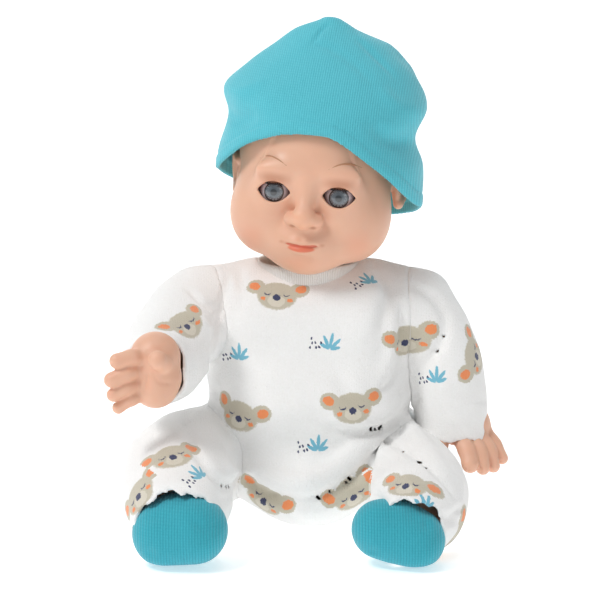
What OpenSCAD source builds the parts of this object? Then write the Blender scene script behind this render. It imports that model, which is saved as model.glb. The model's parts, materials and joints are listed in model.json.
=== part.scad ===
// Interactive baby doll, seated, in a one-piece suit with booties and a soft hat.
// Origin: middle of the seat, on the surface that the doll sits on. Face towards -Y.

/* [Torso] */
// Radius of the round belly
belly_r = 37; // [31:0.5:40]
// Height of the belly's centre above the seat
belly_z = 44; // [42:0.5:50]
// Radius of the chest
chest_r = 30; // [26:0.5:32]
// Height of the chest's centre above the belly's centre
chest_rise = 40; // [34:0.5:46]
// Wall of the hard torso shells
shell_wall = 2.5; // [1.8:0.1:3]
// Depth position of the plane that holds the neck, shoulder and hip axes
axis_y = -7; // [-9:0.5:-5]

/* [Neck] */
// Radius of the torso's neck stub
neck_r = 14; // [13:0.5:16]
// Height of the neck stub above the top of the chest
neck_rise = 2; // [1:0.5:6]
// Radius of the neck's turning shaft
neck_shaft_r = 8; // [6:0.5:9]

/* [Shoulders and hips] */
// Half the distance between the two shoulder faces
shoulder_x = 46; // [42:0.5:50]
// Height of the shoulder axis above the chest's centre
shoulder_rise = 18; // [15:0.5:20]
// Downward tilt of each shoulder axis
shoulder_tilt = 20; // [10:1:25]
// Radius of the shoulder's turning shaft
shoulder_shaft_r = 7; // [5:0.5:8]
// Half the distance between the two hip faces
hip_x = 29; // [27:0.5:32]
// Height of the hip axis
hip_z = 26; // [25:0.5:28]
// Radius of the hip's turning shaft
hip_shaft_r = 8; // [6:0.5:9]
// Rim by which each joint's inner disc overlaps its hole
disc_rim = 3; // [2:0.5:3.5]

/* [Head] */
// Radius of the skull
skull_r = 40; // [36:0.5:42]
// Height of the head's centre above the neck face
head_rise = 52.6; // [52:0.2:60]
// Sideways place of the head's centre
head_shift = 5.2; // [0:0.2:6]
// Sideways lean of the head
head_roll = 4.5; // [0:0.5:8]
// Turn of the head at rest
head_yaw = -8; // [-8:1:8]
// Wall of the vinyl head
head_wall = 2.6; // [2:0.1:3]
// Half the distance between the eye centres
eye_x = 15.5; // [14.5:0.5:16]
// Radius of the eyeball
eye_r = 8.6; // [8:0.1:9]
// Wall of the eyelid shell on the eyeball
lid_wall = 0.4; // [0.3:0.05:0.6]

/* [Electronics] */
// Radius of the belly button's cap
button_r = 11; // [9:0.5:12]
// Travel of the belly button
button_travel = 2.5; // [1.5:0.1:3]
// Radius of the speaker
speaker_r = 14; // [11:0.5:15]
// Diameter of one battery cell
cell_d = 10.5; // [9:0.5:10.5]
// Length of one battery cell
cell_l = 44.5; // [40:0.5:44.5]
// Travel of the on-off switch
switch_travel = 3; // [2:0.5:4]

/* [Clothes] */
// Half width of the suit at the belly
suit_half_w = 47; // [46:0.5:50]
// Radius of the suit's neck opening
collar_r = 33; // [30:0.5:35]
// Thickness of the neck band
collar_t = 4.4; // [3:0.2:5]
// Half width of the hat
hat_half_w = 50; // [49:0.5:52]
// Height that the hat's two peaks rise over the crown
hat_peak = 16; // [8:1:20]

/* [Hidden] */
$fn = 48;
soft_fn = 18;
fine = 0.05;
gap = 0.3;
seam_turn = 40;
far = 400;

chest_z = belly_z + chest_rise;
neck_z = chest_z + chest_r + neck_rise;
neck_face_z = neck_z + 2;
shoulder_z = chest_z + shoulder_rise;
head_c = [head_shift, axis_y + 3, neck_face_z + head_rise - 2];
shoulder_boss_r = shoulder_shaft_r + disc_rim + 1 + shell_wall;
hip_boss_r = hip_shaft_r + disc_rim + 1 + shell_wall;
hip_clear_r = 26;
disc_t = 2;

// Right arm (towards -X) reaches forward, left arm hangs: offsets from the shoulder point
right_sleeve = [[-8, -6, 1], [-13, -20, -4], [-17, -36, -10], [-19, -50, -15], [-20, -63, -17]];
right_sleeve_r = [18, 20, 21, 21, 20.5];
right_arm = [[-8, -4, 1], [-14, -22, -6], [-19, -40, -12], [-22, -58, -13], [-24, -75, -14]];
left_sleeve = [[9, -2, 0], [16, -4, -13], [22, -7, -25], [28, -11, -37], [33, -15, -49]];
left_sleeve_r = [18, 19, 18.5, 17, 15.5];
left_arm = [[9, -2, -2], [16, -4, -15], [22, -8, -28], [29, -13, -43], [34, -19, -57]];
arm_r = [14, 13.5, 12, 10, 8];

// Legs: offsets from the hip point, right leg first
right_trouser = [[-14, 0, 0], [-24, -24, 1], [-33, -52, 3], [-29, -78, -2], [-23, -94, -5]];
left_trouser = [[14, 0, 0], [20, -24, 1], [27, -52, 3], [24, -78, -2], [20, -92, -5]];
trouser_r = [23, 23.5, 24.5, 22.5, 19];
leg_r = [16, 17, 15.5, 12, 10.5];
right_foot = [[-23, -97, -9], [-10, -107, -12], [-35, -102, -10]];
left_foot = [[18, -97, -9], [8, -106, -12], [30, -98, -10]];
foot_r = [11, 9.5, 10];
bootie_grow = 4;
// Belly radius that the legs' points above go round
limb_belly_r = 37;

socket_r = eye_r + lid_wall + 0.3;
case_wall = 1.1;
eye_y = -33.5;
eye_z = -7;
axle_r = 0.9;
case_front = 4.5;
case_back = 4;
lid_ease = 0.5;
lid_back_angle = 60;
lash_angle = 28;
lash_half_w = 5.5;
lash_l = 1.6;
lash_t = 0.5;
weight_angle = -42;
weight_reach = 14;

// Depths of the electronics, measured from the joint plane
button_face = axis_y - belly_r - 1;
button_z = belly_z + 6;
button_lip = button_face + 6.5;
board_y = button_face + 19;
board_w = 40;
board_h = 36;
board_t = 1.6;
board_inset = 4;
board_hole_r = 1.2;
board_screw_r = 0.9;
board_head_r = 2;
grille_r = 1.6;
grille_pitch = 7;
tact_h = 4;
stem_r = 3;
flange_t = 2;
guide_wall = 2.2;
speaker_y = axis_y - chest_r * 0.76;
speaker_z = chest_z + 2;
speaker_d = 5;
pack_y = axis_y + belly_r - 3;
pack_wall = 2;
pack_half_w = cell_l / 2 + 2.2 + pack_wall;
tray_half_w = cell_l / 2 + 2.2;
tray_low = belly_z - 16;
tray_high = tray_low + 3 * cell_d + 3;
pack_low = tray_low - pack_wall - 0.6;
pack_high = tray_high + 16;
door_t = 2;
switch_z = tray_high + 7;
knob_w = 4;
rib_pitch = 1.2;
screw_r = 1.2;
post_r = 3.4;
screw_x = [-20, 20];
screw_low = 19;
screw_high = chest_z + 11;
hat_floor = -22;
hat_ease = 2;
ear_out = 3.2;
tape_t = 1.2;
tape_half_w = 7;

skin = [0.95, 0.76, 0.64];
suit_white = [0.97, 0.97, 0.95];
turquoise = [0.27, 0.72, 0.78];

function add(list, p) = [for (q = list) q + p];
function shoulder(side) = [side * shoulder_x, axis_y, shoulder_z];
function hip(side) = [side * hip_x, axis_y, hip_z];
function arm_points(side) = add(side < 0 ? right_arm : left_arm, shoulder(side));
function sleeve_points(side) = add(side < 0 ? right_sleeve : left_sleeve, shoulder(side));
function sleeve_radii(side) = side < 0 ? right_sleeve_r : left_sleeve_r;
function round_belly(side) = [side, -1, 0] * (belly_r - limb_belly_r);
function spread(list, shift) = [for (i = [0 : len(list) - 1]) list[i] + (i == 0 ? [0, 0, 0] : shift)];
function trouser_points(side) =
    spread(add(side < 0 ? right_trouser : left_trouser, hip(side)), round_belly(side));
function foot_points(side) = add(add(side < 0 ? right_foot : left_foot, hip(side)), round_belly(side));

// Rounded limb through a list of points
module chain(points, radii, grow = 0) {
    for (i = [0 : len(points) - 2])
        hull() for (k = [i, i + 1])
            translate(points[k]) sphere(radii[k] + grow, $fn = soft_fn);
}

module ball(p, r) translate(p) sphere(r, $fn = soft_fn);
module along_y(r, y0, y1, x = 0, z = 0)
    translate([x, y0, z]) rotate([-90, 0, 0]) cylinder(r = r, h = y1 - y0);
module box(low, high) translate(low) cube(high - low);

// Puts children in a shoulder's frame: +Z points outwards along its axis
module at_shoulder(side) translate(shoulder(side))
    rotate([0, side * (90 + shoulder_tilt), 0]) rotate([0, 0, seam_turn]) children();
module at_hip(side) translate(hip(side)) rotate([0, side * 90, 0]) rotate([0, 0, seam_turn]) children();
module at_head() translate(head_c) rotate([0, head_roll, head_yaw]) children();
module at_eye(side) at_head() translate([side * eye_x, eye_y, eye_z]) children();

// ---- Torso ----
module torso_solid(inset = 0) difference() {
    torso_round(inset);
    for (side = [-1, 1]) at_hip(side) translate([0, 0, -inset]) cylinder(r = hip_clear_r + inset, h = far);
}

module torso_round(inset) {
    slope = (belly_r - chest_r) / chest_rise;
    turn = sqrt(1 - slope * slope);
    b = belly_r - inset;
    c = chest_r - inset;
    translate([0, axis_y, 0]) rotate([0, 0, seam_turn]) {
        translate([0, 0, belly_z]) sphere(b);
        translate([0, 0, chest_z]) sphere(c);
        translate([0, 0, belly_z + b * slope])
            cylinder(r1 = b * turn, r2 = c * turn, h = chest_rise + (c - b) * slope);
        translate([0, 0, chest_z]) cylinder(r = neck_r - inset, h = neck_z - inset - chest_z);
    }
    for (side = [-1, 1]) {
        intersection() {
            at_shoulder(side) translate([0, 0, -inset - 26])
                cylinder(r = shoulder_boss_r - inset, h = 26);
            box([-far, -far, 0], [far, far, neck_z - inset]);
        }
        at_hip(side) translate([0, 0, -inset - 24]) cylinder(r = hip_boss_r - inset, h = 24);
    }
}

module pack_box(inset = 0)
    box([-pack_half_w + inset, axis_y - 3, pack_low + inset],
        [pack_half_w - inset, pack_y - inset, pack_high - inset]);

module joint_holes() {
    translate([0, axis_y, chest_z]) rotate([0, 0, seam_turn]) cylinder(r = neck_shaft_r + fine, h = far);
    for (side = [-1, 1]) {
        at_shoulder(side) translate([0, 0, -10]) cylinder(r = shoulder_shaft_r + fine, h = 20);
        at_hip(side) translate([0, 0, -10]) cylinder(r = hip_shaft_r + fine, h = 20);
    }
}

module front_half() box([-far, -far, -far], [far, axis_y, far]);
module back_half() box([-far, axis_y, -far], [far, pack_y, far]);

module screw_places() for (x = screw_x, z = [screw_low, screw_high]) translate([x, 0, z]) children();

module board_corners() for (x = [-1, 1], z = [-1, 1])
    translate([x * (board_w / 2 - board_inset), 0, button_z + z * (board_h / 2 - board_inset)]) children();

module torso_front() color(skin) difference() {
    intersection() {
        union() {
            difference() {
                torso_solid();
                torso_solid(shell_wall);
            }
            intersection() {
                torso_solid(0.5);
                union() {
                    along_y(button_r + disc_rim + gap + guide_wall, button_face, button_lip + 8, 0, button_z);
                    along_y(speaker_r + guide_wall, axis_y - far, speaker_y + speaker_d, 0, speaker_z);
                    screw_places() along_y(post_r, axis_y - far, axis_y);
                    board_corners() along_y(post_r, axis_y - far, board_y);
                }
            }
        }
        front_half();
    }
    joint_holes();
    along_y(button_r + gap, axis_y - far, button_lip + far, 0, button_z);
    along_y(button_r + disc_rim + gap, button_lip, axis_y, 0, button_z);
    along_y(speaker_r + fine, speaker_y, axis_y, 0, speaker_z);
    for (ring = [0, 1], k = [0 : (ring == 0 ? 0 : 5)])
        along_y(grille_r, axis_y - far, axis_y, ring * grille_pitch * cos(60 * k),
            speaker_z + ring * grille_pitch * sin(60 * k));
    screw_places() along_y(screw_r, axis_y - 9, axis_y + 1);
    board_corners() along_y(board_screw_r, board_y - 5, board_y + 1);
}

module torso_back() color(skin) difference() {
    intersection() {
        union() {
            difference() {
                union() {
                    torso_solid();
                    pack_box();
                }
                torso_solid(shell_wall);
                pack_box(pack_wall);
            }
            intersection() {
                torso_solid(0.5);
                screw_places() along_y(post_r, axis_y - 1, axis_y + far);
            }
        }
        back_half();
    }
    joint_holes();
    box([-tray_half_w - gap, pack_y - 5, tray_low - gap], [tray_half_w + gap, pack_y + 1, tray_high + gap]);
    box([-knob_w / 2 - gap, pack_y - 5, switch_z - 2 - gap],
        [knob_w / 2 + switch_travel + gap, pack_y + 1, switch_z + 2 + gap]);
    screw_places() {
        along_y(screw_r + 0.2, axis_y - 1, axis_y + far);
        along_y(screw_r + 1.2, axis_y + 5, axis_y + far);
    }
}

module screw(x, z, y_tip, y_seat) {
    along_y(screw_r - fine, y_tip, y_seat + 0.5, x, z);
    difference() {
        along_y(screw_r + 1, y_seat, y_seat + 2, x, z);
        box([x - 1.6, y_seat + 1.2, z - 0.3], [x + 1.6, y_seat + 3, z + 0.3]);
        box([x - 0.3, y_seat + 1.2, z - 1.6], [x + 0.3, y_seat + 3, z + 1.6]);
    }
}

module torso_screws() color("silver")
    for (x = screw_x, z = [screw_low, screw_high]) screw(x, z, axis_y - 8, axis_y + 5);

// ---- Electronics ----
module circuit_board() color([0.1, 0.45, 0.25]) difference() {
    box([-board_w / 2, board_y, button_z - board_h / 2],
        [board_w / 2, board_y + board_t, button_z + board_h / 2]);
    board_corners() along_y(board_hole_r, board_y - 1, board_y + board_t + 1);
}

module board_screws() color("silver") board_corners() {
    along_y(board_screw_r - fine, board_y - 4, board_y + board_t + 0.5);
    along_y(board_head_r, board_y + board_t, board_y + board_t + 1.2);
}

module sound_chip() color([0.1, 0.1, 0.1])
    box([-5, board_y + board_t, button_z - 4], [5, board_y + board_t + 1.6, button_z + 4]);

module tact_switch() color([0.2, 0.2, 0.2]) {
    box([-3, board_y - tact_h + 1, button_z - 3], [3, board_y, button_z + 3]);
    along_y(1.7, board_y - tact_h, board_y - tact_h + 1.2, 0, button_z);
}

module speaker_frame() color("silver") difference() {
    along_y(speaker_r, speaker_y, speaker_y + speaker_d, 0, speaker_z);
    along_y(speaker_r - 1.5, speaker_y - 1, speaker_y + speaker_d - 1.2, 0, speaker_z);
    along_y(6, speaker_y, speaker_y + speaker_d + 1, 0, speaker_z);
}

module speaker_cone() color([0.15, 0.15, 0.15])
    translate([0, speaker_y + 0.5, speaker_z]) rotate([-90, 0, 0]) difference() {
        cylinder(r1 = speaker_r - 1.6, r2 = 5, h = 3.2);
        translate([0, 0, -0.7]) cylinder(r1 = speaker_r - 1.6, r2 = 5, h = 3.2);
    }

module speaker_magnet() color("dimgray")
    along_y(speaker_r * 0.62, speaker_y + speaker_d, speaker_y + speaker_d + 4.5, 0, speaker_z);

module battery_tray() color([0.2, 0.2, 0.2]) difference() {
    box([-tray_half_w, pack_y - door_t - cell_d - 3, tray_low], [tray_half_w, pack_y - door_t, tray_high]);
    box([-tray_half_w + 1.4, pack_y - door_t - cell_d - 1.6, tray_low + 1.4],
        [tray_half_w - 1.4, pack_y, tray_high - 1.4]);
}

module battery_cells() color([0.75, 0.62, 0.3]) for (k = [0 : 2])
    translate([-cell_l / 2 + 0.8, pack_y - door_t - cell_d / 2 - 0.9, tray_low + 1.5 + cell_d * (k + 0.5)])
        rotate([0, 90, 0]) {
            cylinder(d = cell_d - 0.1, h = cell_l - 1.8);
            cylinder(d = cell_d / 2.6, h = cell_l - 1);
        }

module battery_contacts() color("silver") for (side = [-1, 1], k = [0 : 2])
    translate([side > 0 ? cell_l / 2 + 0.1 : -cell_l / 2, pack_y - door_t - cell_d / 2 - 4,
        tray_low + 1.5 + cell_d * (k + 0.5) - 3]) cube([0.5, 6, 6]);

module battery_door() color(skin) difference() {
    box([-tray_half_w, pack_y - door_t, tray_low], [tray_half_w, pack_y, tray_high]);
    along_y(screw_r + 0.2, pack_y - 5, pack_y + 1, 0, tray_high - 0.1 - 3);
    for (z = [0 : 3]) box([-9, pack_y - 0.5, tray_low + 5 + 2 * z], [9, pack_y + 1, tray_low + 6 + 2 * z]);
}

module door_screw() color("silver") {
    along_y(screw_r - fine, pack_y - door_t - 0.5, pack_y + 0.1, 0, tray_high - 0.1 - 3);
    along_y(screw_r + 1, pack_y, pack_y + 0.9, 0, tray_high - 0.1 - 3);
}

module switch_body() color([0.15, 0.15, 0.15])
    box([-4, pack_y - pack_wall - 5, switch_z - 3.4],
        [4 + switch_travel, pack_y - pack_wall, switch_z + 3.4]);

module switch_knob() color([0.9, 0.35, 0.25]) {
    box([-knob_w / 2, pack_y - pack_wall, switch_z - 2], [knob_w / 2, pack_y - 0.2, switch_z + 2]);
    for (k = [-1, 0, 1]) translate([k * rib_pitch, 0, 0])
        box([-0.3, pack_y - 0.3, switch_z - 2], [0.3, pack_y + 0.3, switch_z + 2]);
}

module belly_button() color([0.95, 0.5, 0.4]) difference() {
    union() {
        along_y(button_r, button_face + 1.5, button_lip + fine + flange_t, 0, button_z);
        translate([0, button_face + 1.5, button_z]) rotate([90, 0, 0])
            cylinder(r1 = button_r, r2 = button_r - 1.5, h = 1.5);
        along_y(button_r + disc_rim, button_lip + fine, button_lip + fine + flange_t, 0, button_z);
        along_y(stem_r, button_lip, board_y - tact_h - button_travel - 0.1, 0, button_z);
    }
    difference() {
        along_y(button_r - 1.8, button_face + 2.5, button_lip + 20, 0, button_z);
        along_y(stem_r, button_face, button_lip + 20, 0, button_z);
    }
}

// Helix of round wire, swept as rings of points
spring_turns = 5;
spring_r = 6;
wire_r = 0.45;
spring_y0 = button_face + 3.2;
spring_y1 = board_y - 0.7;
ring_n = 6;
turn_n = 12;
spring_rings = spring_turns * turn_n + 1;
function spring_point(i, j) =
    let (a = 360 * i / turn_n, b = 360 * j / ring_n, rr = spring_r + wire_r * cos(b))
    [rr * cos(a), spring_y0 + (spring_y1 - spring_y0) * i / (spring_rings - 1) + wire_r * sin(b),
        button_z + rr * sin(a)];

module button_spring() color("silver") polyhedron(
    points = [for (i = [0 : spring_rings - 1], j = [0 : ring_n - 1]) spring_point(i, j)],
    faces = concat(
        [[for (j = [0 : ring_n - 1]) j]],
        [[for (j = [ring_n - 1 : -1 : 0]) (spring_rings - 1) * ring_n + j]],
        [for (i = [0 : spring_rings - 2], j = [0 : ring_n - 1])
            let (here = i * ring_n, next = here + ring_n, k = (j + 1) % ring_n)
                [here + j, next + j, next + k, here + k]]
    ));

// ---- Turning flanges: inner disc, shaft in the hole, outer plate ----
module spool(shaft_r) {
    translate([0, 0, -shell_wall - gap - disc_t]) cylinder(r = shaft_r + disc_rim, h = disc_t);
    translate([0, 0, -shell_wall - gap - disc_t]) cylinder(r = shaft_r, h = shell_wall + gap + 2 * disc_t);
    translate([0, 0, gap]) cylinder(r = shaft_r + disc_rim, h = disc_t - gap);
}

module neck_flange() color(skin) translate([0, axis_y, neck_z]) spool(neck_shaft_r);
module shoulder_flange(side) color(skin) at_shoulder(side) spool(shoulder_shaft_r);
module hip_flange(side) color(skin) at_hip(side) spool(hip_shaft_r);

// ---- Head ----
module skull(inset = 0) {
    k = skull_r / 40;
    hull() {
        ball([0, 4, 12] * k, 40 * k - inset);
        ball([0, -8, 14] * k, 35 * k - inset);
        ball([-14, -17, -17] * k, 25 * k - inset);
        ball([14, -17, -17] * k, 25 * k - inset);
        ball([0, -26, -29] * k, 17 * k - inset);
        ball([0, 0, -22] * k, 28 * k - inset);
    }
}

module neck_tube(r) translate([0, axis_y, neck_face_z])
    cylinder(r = r, h = head_rise / 2, $fn = soft_fn + 6);

module eye_opening(side) at_eye(side)
    rotate([90, 0, 0]) scale([1, 0.77, 1]) cylinder(r = eye_r - 0.2, h = 30, $fn = soft_fn + 6);

module head_shell() color(skin) difference() {
    union() {
        difference() {
            union() {
                at_head() skull();
                neck_tube(neck_r);
            }
            at_head() skull(head_wall);
            translate([0, 0, -1]) neck_tube(neck_r - head_wall);
        }
        intersection() {
            at_head() skull();
            for (side = [-1, 1]) at_eye(side) ball([0, 0, 0], socket_r + case_wall + 2);
        }
        at_head() {
            hull() { ball([0, eye_y - 9, -4], 3); ball([0, eye_y - 12, -15], 4.2); }
            for (side = [-1, 1]) {
                hull() { ball([side * 3.5, eye_y - 10, -16], 3); ball([0, eye_y - 9, -12], 3); }
                hull() { ball([side * 39, 2, -3], 4); ball([side * 39, 5, -14], 3.6); }
            }
            hull() { ball([-5, eye_y - 8, -26], 2.4); ball([5, eye_y - 8, -26], 2.4); }
            hull() { ball([-3, eye_y - 8, -30], 2.4); ball([3, eye_y - 8, -30], 2.4); }
        }
    }
    for (side = [-1, 1]) {
        at_eye(side) hull() {
            ball([0, 0, 0], socket_r + case_wall + gap);
            ball([0, 12, 0], socket_r + case_wall + gap);
        }
        eye_opening(side);
    }
}

module axle_bore(ease) translate([-eye_r * 2, 0, 0])
    rotate([0, 90, 0]) cylinder(r = axle_r + ease, h = eye_r * 4);

module eye_case(side) color([0.9, 0.9, 0.88]) at_eye(side) difference() {
    rotate([90, 0, 0]) rotate([0, 0, seam_turn]) sphere(socket_r + case_wall);
    rotate([90, 0, 0]) rotate([0, 0, seam_turn]) sphere(socket_r);
    box([-far, -far, -far], [far, -case_front, far]);
    box([-far, case_back, -far], [far, far, far]);
    axle_bore(fine);
}

module eyeball(side) color("white") at_eye(side) rotate([0, 90, 0]) rotate_extrude()
    difference() {
        circle(eye_r);
        translate([-far, -far]) square([far + axle_r, 2 * far]);
    }

module eyelid(side) color(skin) at_eye(side) difference() {
    rotate([0, 0, 90]) sphere(eye_r + lid_wall);
    rotate([0, 0, 90]) sphere(eye_r);
    rotate([-lash_angle, 0, 0]) box([-far, -far, -far], [far, far, 0]);
    rotate([lid_back_angle, 0, 0]) box([-far, -far, -far], [far, far, 0]);
    axle_bore(lid_ease);
}

module lashes(side) color([0.2, 0.13, 0.12]) at_eye(side) rotate([-lash_angle, 0, 0]) difference() {
    sphere(eye_r + lid_wall + lash_l);
    sphere(eye_r + lid_wall);
    box([-far, -far, lash_t], [far, far, far]);
    box([-far, -far, -far], [far, far, 0]);
    box([-far, -lash_half_w, -far], [far, far, far]);
    box([lash_half_w, -far, -far], [far, far, far]);
    box([-far, -far, -far], [-lash_half_w, far, far]);
}

module eye_weight(side) color("dimgray") at_eye(side) rotate([weight_angle, 0, 0]) {
    along_y(1.1, eye_r + lid_wall + 0.05, weight_reach);
    translate([-3.2, weight_reach, 0]) rotate([0, 90, 0]) cylinder(r = 3, h = 6.4);
}

module eye_axle(side) color("silver") at_eye(side) translate([-socket_r - case_wall, 0, 0])
    rotate([0, 90, 0]) cylinder(r = axle_r, h = 2 * (socket_r + case_wall));

// ---- Hat ----
module hat_outer() {
    k = hat_half_w / 50;
    hull() {
        ball([-24, 10, 22] * k, 26 * k);
        ball([24, 10, 22] * k, 26 * k);
        ball([0, -4, 24] * k, 44 * k);
        ball([0, 8, 4] * k, 50 * k);
        ball([0, 12, -4] * k, 48 * k);
    }
    hull() {
        ball([-2, 4, 47 + hat_peak], 8);
        ball([-34, 4, 38], 10);
        ball([28, 4, 44], 10);
    }
    hull() {
        ball([-40, 4, 30], 9);
        ball([-24, 4, 44], 9);
        ball([-38, 4, 10], 9);
    }
    hull() {
        ball([40, 4, 34], 9);
        ball([24, 4, 48], 9);
        ball([38, 4, 10], 9);
    }
}

module hat() color(turquoise) at_head() difference() {
    hat_outer();
    for (drop = [0, 24]) hull() for (d = [drop, drop + 30]) {
        ball([0, 4, 12 - d], skull_r + hat_ease);
        ball([0, -8, 14 - d], skull_r - 5 + hat_ease);
    }
    hull() for (d = [0, 60]) ball([0, 4, 2 - d], skull_r + ear_out + hat_ease);
    translate([0, 0, hat_floor]) rotate([-36, 0, 0]) box([-far, -far, -far], [far, far, 20]);
}

// ---- Limbs ----
module beyond_shoulder(side) at_shoulder(side) translate([-far, -far, disc_t]) cube(2 * far);
module beyond_hip(side) at_hip(side) translate([-far, -far, disc_t]) cube(2 * far);

right_palm = [-25, -83, -15];
right_tips = [[-39, -90, -4], [-42, -90, -12], [-41, -89, -20], [-39, -87, -26]];
right_thumb = [[-20, -84, -6], [-25, -92, -2]];
left_palm = [38, -24, -65];
left_tips = [[45, -33, -78], [51, -31, -78], [55, -28, -76], [57, -25, -72]];
left_thumb = [[33, -30, -64], [38, -37, -72]];
finger_r = 3.6;
palm_r = 9.5;
cuff_reach = 76;
cuff_drop = 60;

function palm_point(side) = shoulder(side) + (side < 0 ? right_palm : left_palm);

module hand(side) {
    palm = palm_point(side);
    tips = add(side < 0 ? right_tips : left_tips, shoulder(side));
    thumb = add(side < 0 ? right_thumb : left_thumb, shoulder(side));
    wrist = arm_points(side)[4];
    hull() { ball(wrist, arm_r[4]); ball(palm, palm_r); }
    for (tip = tips) hull() {
        ball(palm + (tip - palm) * 0.42, finger_r + 0.8);
        ball(tip, finger_r - 0.2);
    }
    hull() { ball(palm, finger_r + 2); ball(thumb[0], finger_r + 0.6); }
    hull() { ball(thumb[0], finger_r + 0.6); ball(thumb[1], finger_r - 0.2); }
}

module arm(side) color(skin) intersection() {
    union() {
        chain(arm_points(side), arm_r);
        hand(side);
    }
    beyond_shoulder(side);
}

module sleeve(side) color(suit_white) difference() {
    intersection() {
        chain(sleeve_points(side), sleeve_radii(side));
        beyond_shoulder(side);
        if (side < 0) translate(shoulder(side)) box([-far, -cuff_reach, -far], [far, far, far]);
        else translate(shoulder(side)) box([-far, -far, -cuff_drop], [far, far, far]);
    }
    chain(arm_points(side), arm_r, gap);
    hull() {
        ball(arm_points(side)[4], arm_r[4] + gap);
        ball(palm_point(side), palm_r + gap);
    }
}

module foot(side, grow = 0) {
    p = foot_points(side);
    hull() for (k = [0 : 2]) ball(p[k], foot_r[k] + grow);
}

module leg_and_ankle(side, grow = 0) {
    chain(trouser_points(side), leg_r, grow);
    for (k = [0 : 2]) hull() {
        ball(trouser_points(side)[4], leg_r[4] + grow);
        ball(foot_points(side)[k], foot_r[k] + grow);
    }
}

module above_floor() box([-far, -far, 0], [far, far, far]);

module leg(side) color(skin) intersection() {
    union() {
        leg_and_ankle(side);
        foot(side);
    }
    beyond_hip(side);
}

module trouser(side) color(suit_white) difference() {
    intersection() {
        chain(trouser_points(side), trouser_r);
        beyond_hip(side);
        above_floor();
    }
    foot(side, bootie_grow + gap);
    leg_and_ankle(side, gap);
}

module bootie(side) color(turquoise) difference() {
    intersection() {
        foot(side, bootie_grow);
        above_floor();
    }
    foot(side, gap);
    leg_and_ankle(side, gap);
}

// ---- Suit ----
module suit_outer(grow = 0) {
    hull() for (side = [-1, 1]) {
        ball([side * (suit_half_w - 27), axis_y - belly_r + 18, belly_z + 14], 27 + grow);
        ball([side * (suit_half_w - 27), pack_y - 22, pack_high - 16.5], 27 + grow);
        ball([side * (pack_half_w - 8), pack_y - 20, pack_low + 11], 24 + grow);
        ball([side * 22, axis_y - belly_r + 23, shoulder_z - 3], 22 + grow);
        ball([side * 22, axis_y + belly_r - 31, shoulder_z - 3], 22 + grow);
    }
    for (side = [-1, 1]) hull() {
        ball([side * 20, axis_y, shoulder_z + 1], 18 + grow);
        ball([side * (shoulder_x - 2), axis_y, shoulder_z + 1], 18 + grow);
    }
    hull() for (side = [-1, 1]) {
        ball([side * (hip_x - 21.5), axis_y - 16, 21], 21 + grow);
        ball([side * (hip_x - 21.5), axis_y + 14, 21], 21 + grow);
        ball([side * (hip_x - 18), axis_y, 42], 30 + grow);
        translate([side * (hip_x - 20.5), axis_y - 2, 0]) cylinder(r = 20 + grow, h = 10, $fn = soft_fn);
    }
}

module suit_body() color(suit_white) difference() {
    intersection() {
        suit_outer();
        above_floor();
    }
    hull() {
        ball([0, axis_y, belly_z], belly_r + 1.6);
        ball([0, axis_y, chest_z], chest_r + 1);
    }
    box([-pack_half_w - gap, axis_y, pack_low - gap], [pack_half_w + gap, pack_y + 1.6, pack_high + gap]);
    along_y(button_r + 2, button_face - 1, axis_y, 0, button_z);
    for (side = [-1, 1]) {
        at_shoulder(side) translate([0, 0, -30]) cylinder(r = shoulder_boss_r + gap, h = 40);
        at_hip(side) translate([0, 0, -30]) cylinder(r = hip_boss_r + gap, h = 40);
        at_shoulder(side) translate([0, 0, disc_t - gap]) cylinder(r = 23, h = 60);
        at_hip(side) cylinder(r = 27, h = 60);
        chain(trouser_points(side), trouser_r, 1);
        chain(sleeve_points(side), sleeve_radii(side), 4);
    }
    translate([0, axis_y, neck_z - 6]) cylinder(r = collar_r, h = far);
    box([-far, -far, neck_face_z + 3], [far, far, far]);
}

module suit_collar() color(suit_white) translate([0, axis_y, neck_face_z + 1]) rotate_extrude()
    translate([collar_r - collar_t / 2 - gap, 0]) circle(d = collar_t);

// Strip at the back that follows the suit's surface
module back_closure() color([0.9, 0.9, 0.9]) difference() {
    intersection() {
        suit_outer(tape_t);
        box([-tape_half_w, axis_y + 20, belly_z - 16], [tape_half_w, far, neck_z - 8]);
    }
    suit_outer();
}

torso_front();
torso_back();
torso_screws();
circuit_board();
board_screws();
sound_chip();
tact_switch();
speaker_frame();
speaker_cone();
speaker_magnet();
battery_tray();
battery_cells();
battery_contacts();
battery_door();
door_screw();
switch_body();
switch_knob();
belly_button();
button_spring();
suit_body();
suit_collar();
back_closure();
neck_flange();
head_shell();
eye_case(-1);  // eye_case_right
eye_case(1);  // eye_case_left
eyeball(-1);  // eyeball_right
eyeball(1);  // eyeball_left
eyelid(-1);  // eyelid_right
eyelid(1);  // eyelid_left
lashes(-1);  // lashes_right
lashes(1);  // lashes_left
eye_weight(-1);  // eye_weight_right
eye_weight(1);  // eye_weight_left
eye_axle(-1);  // eye_axle_right
eye_axle(1);  // eye_axle_left
hat();
arm(-1);  // arm_right
arm(1);  // arm_left
shoulder_flange(-1);  // shoulder_flange_right
shoulder_flange(1);  // shoulder_flange_left
sleeve(-1);  // sleeve_right
sleeve(1);  // sleeve_left
leg(-1);  // leg_right
leg(1);  // leg_left
hip_flange(-1);  // hip_flange_right
hip_flange(1);  // hip_flange_left
trouser(-1);  // trouser_right
trouser(1);  // trouser_left
bootie(-1);  // bootie_right
bootie(1);  // bootie_left
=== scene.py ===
"""The looks of a seated baby doll in a velour suit, knitted hat and booties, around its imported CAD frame.

Soft and moulded shapes are modelled as clay: signed distances on a grid, in millimetres, built from
balls and limbs that melt into each other, with folds and dents stroked on, and then turned into quads.
"""

import json
import math

import bmesh
import bpy
import numpy as np
import openvdb as vdb
from mathutils import Matrix, Vector


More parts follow.
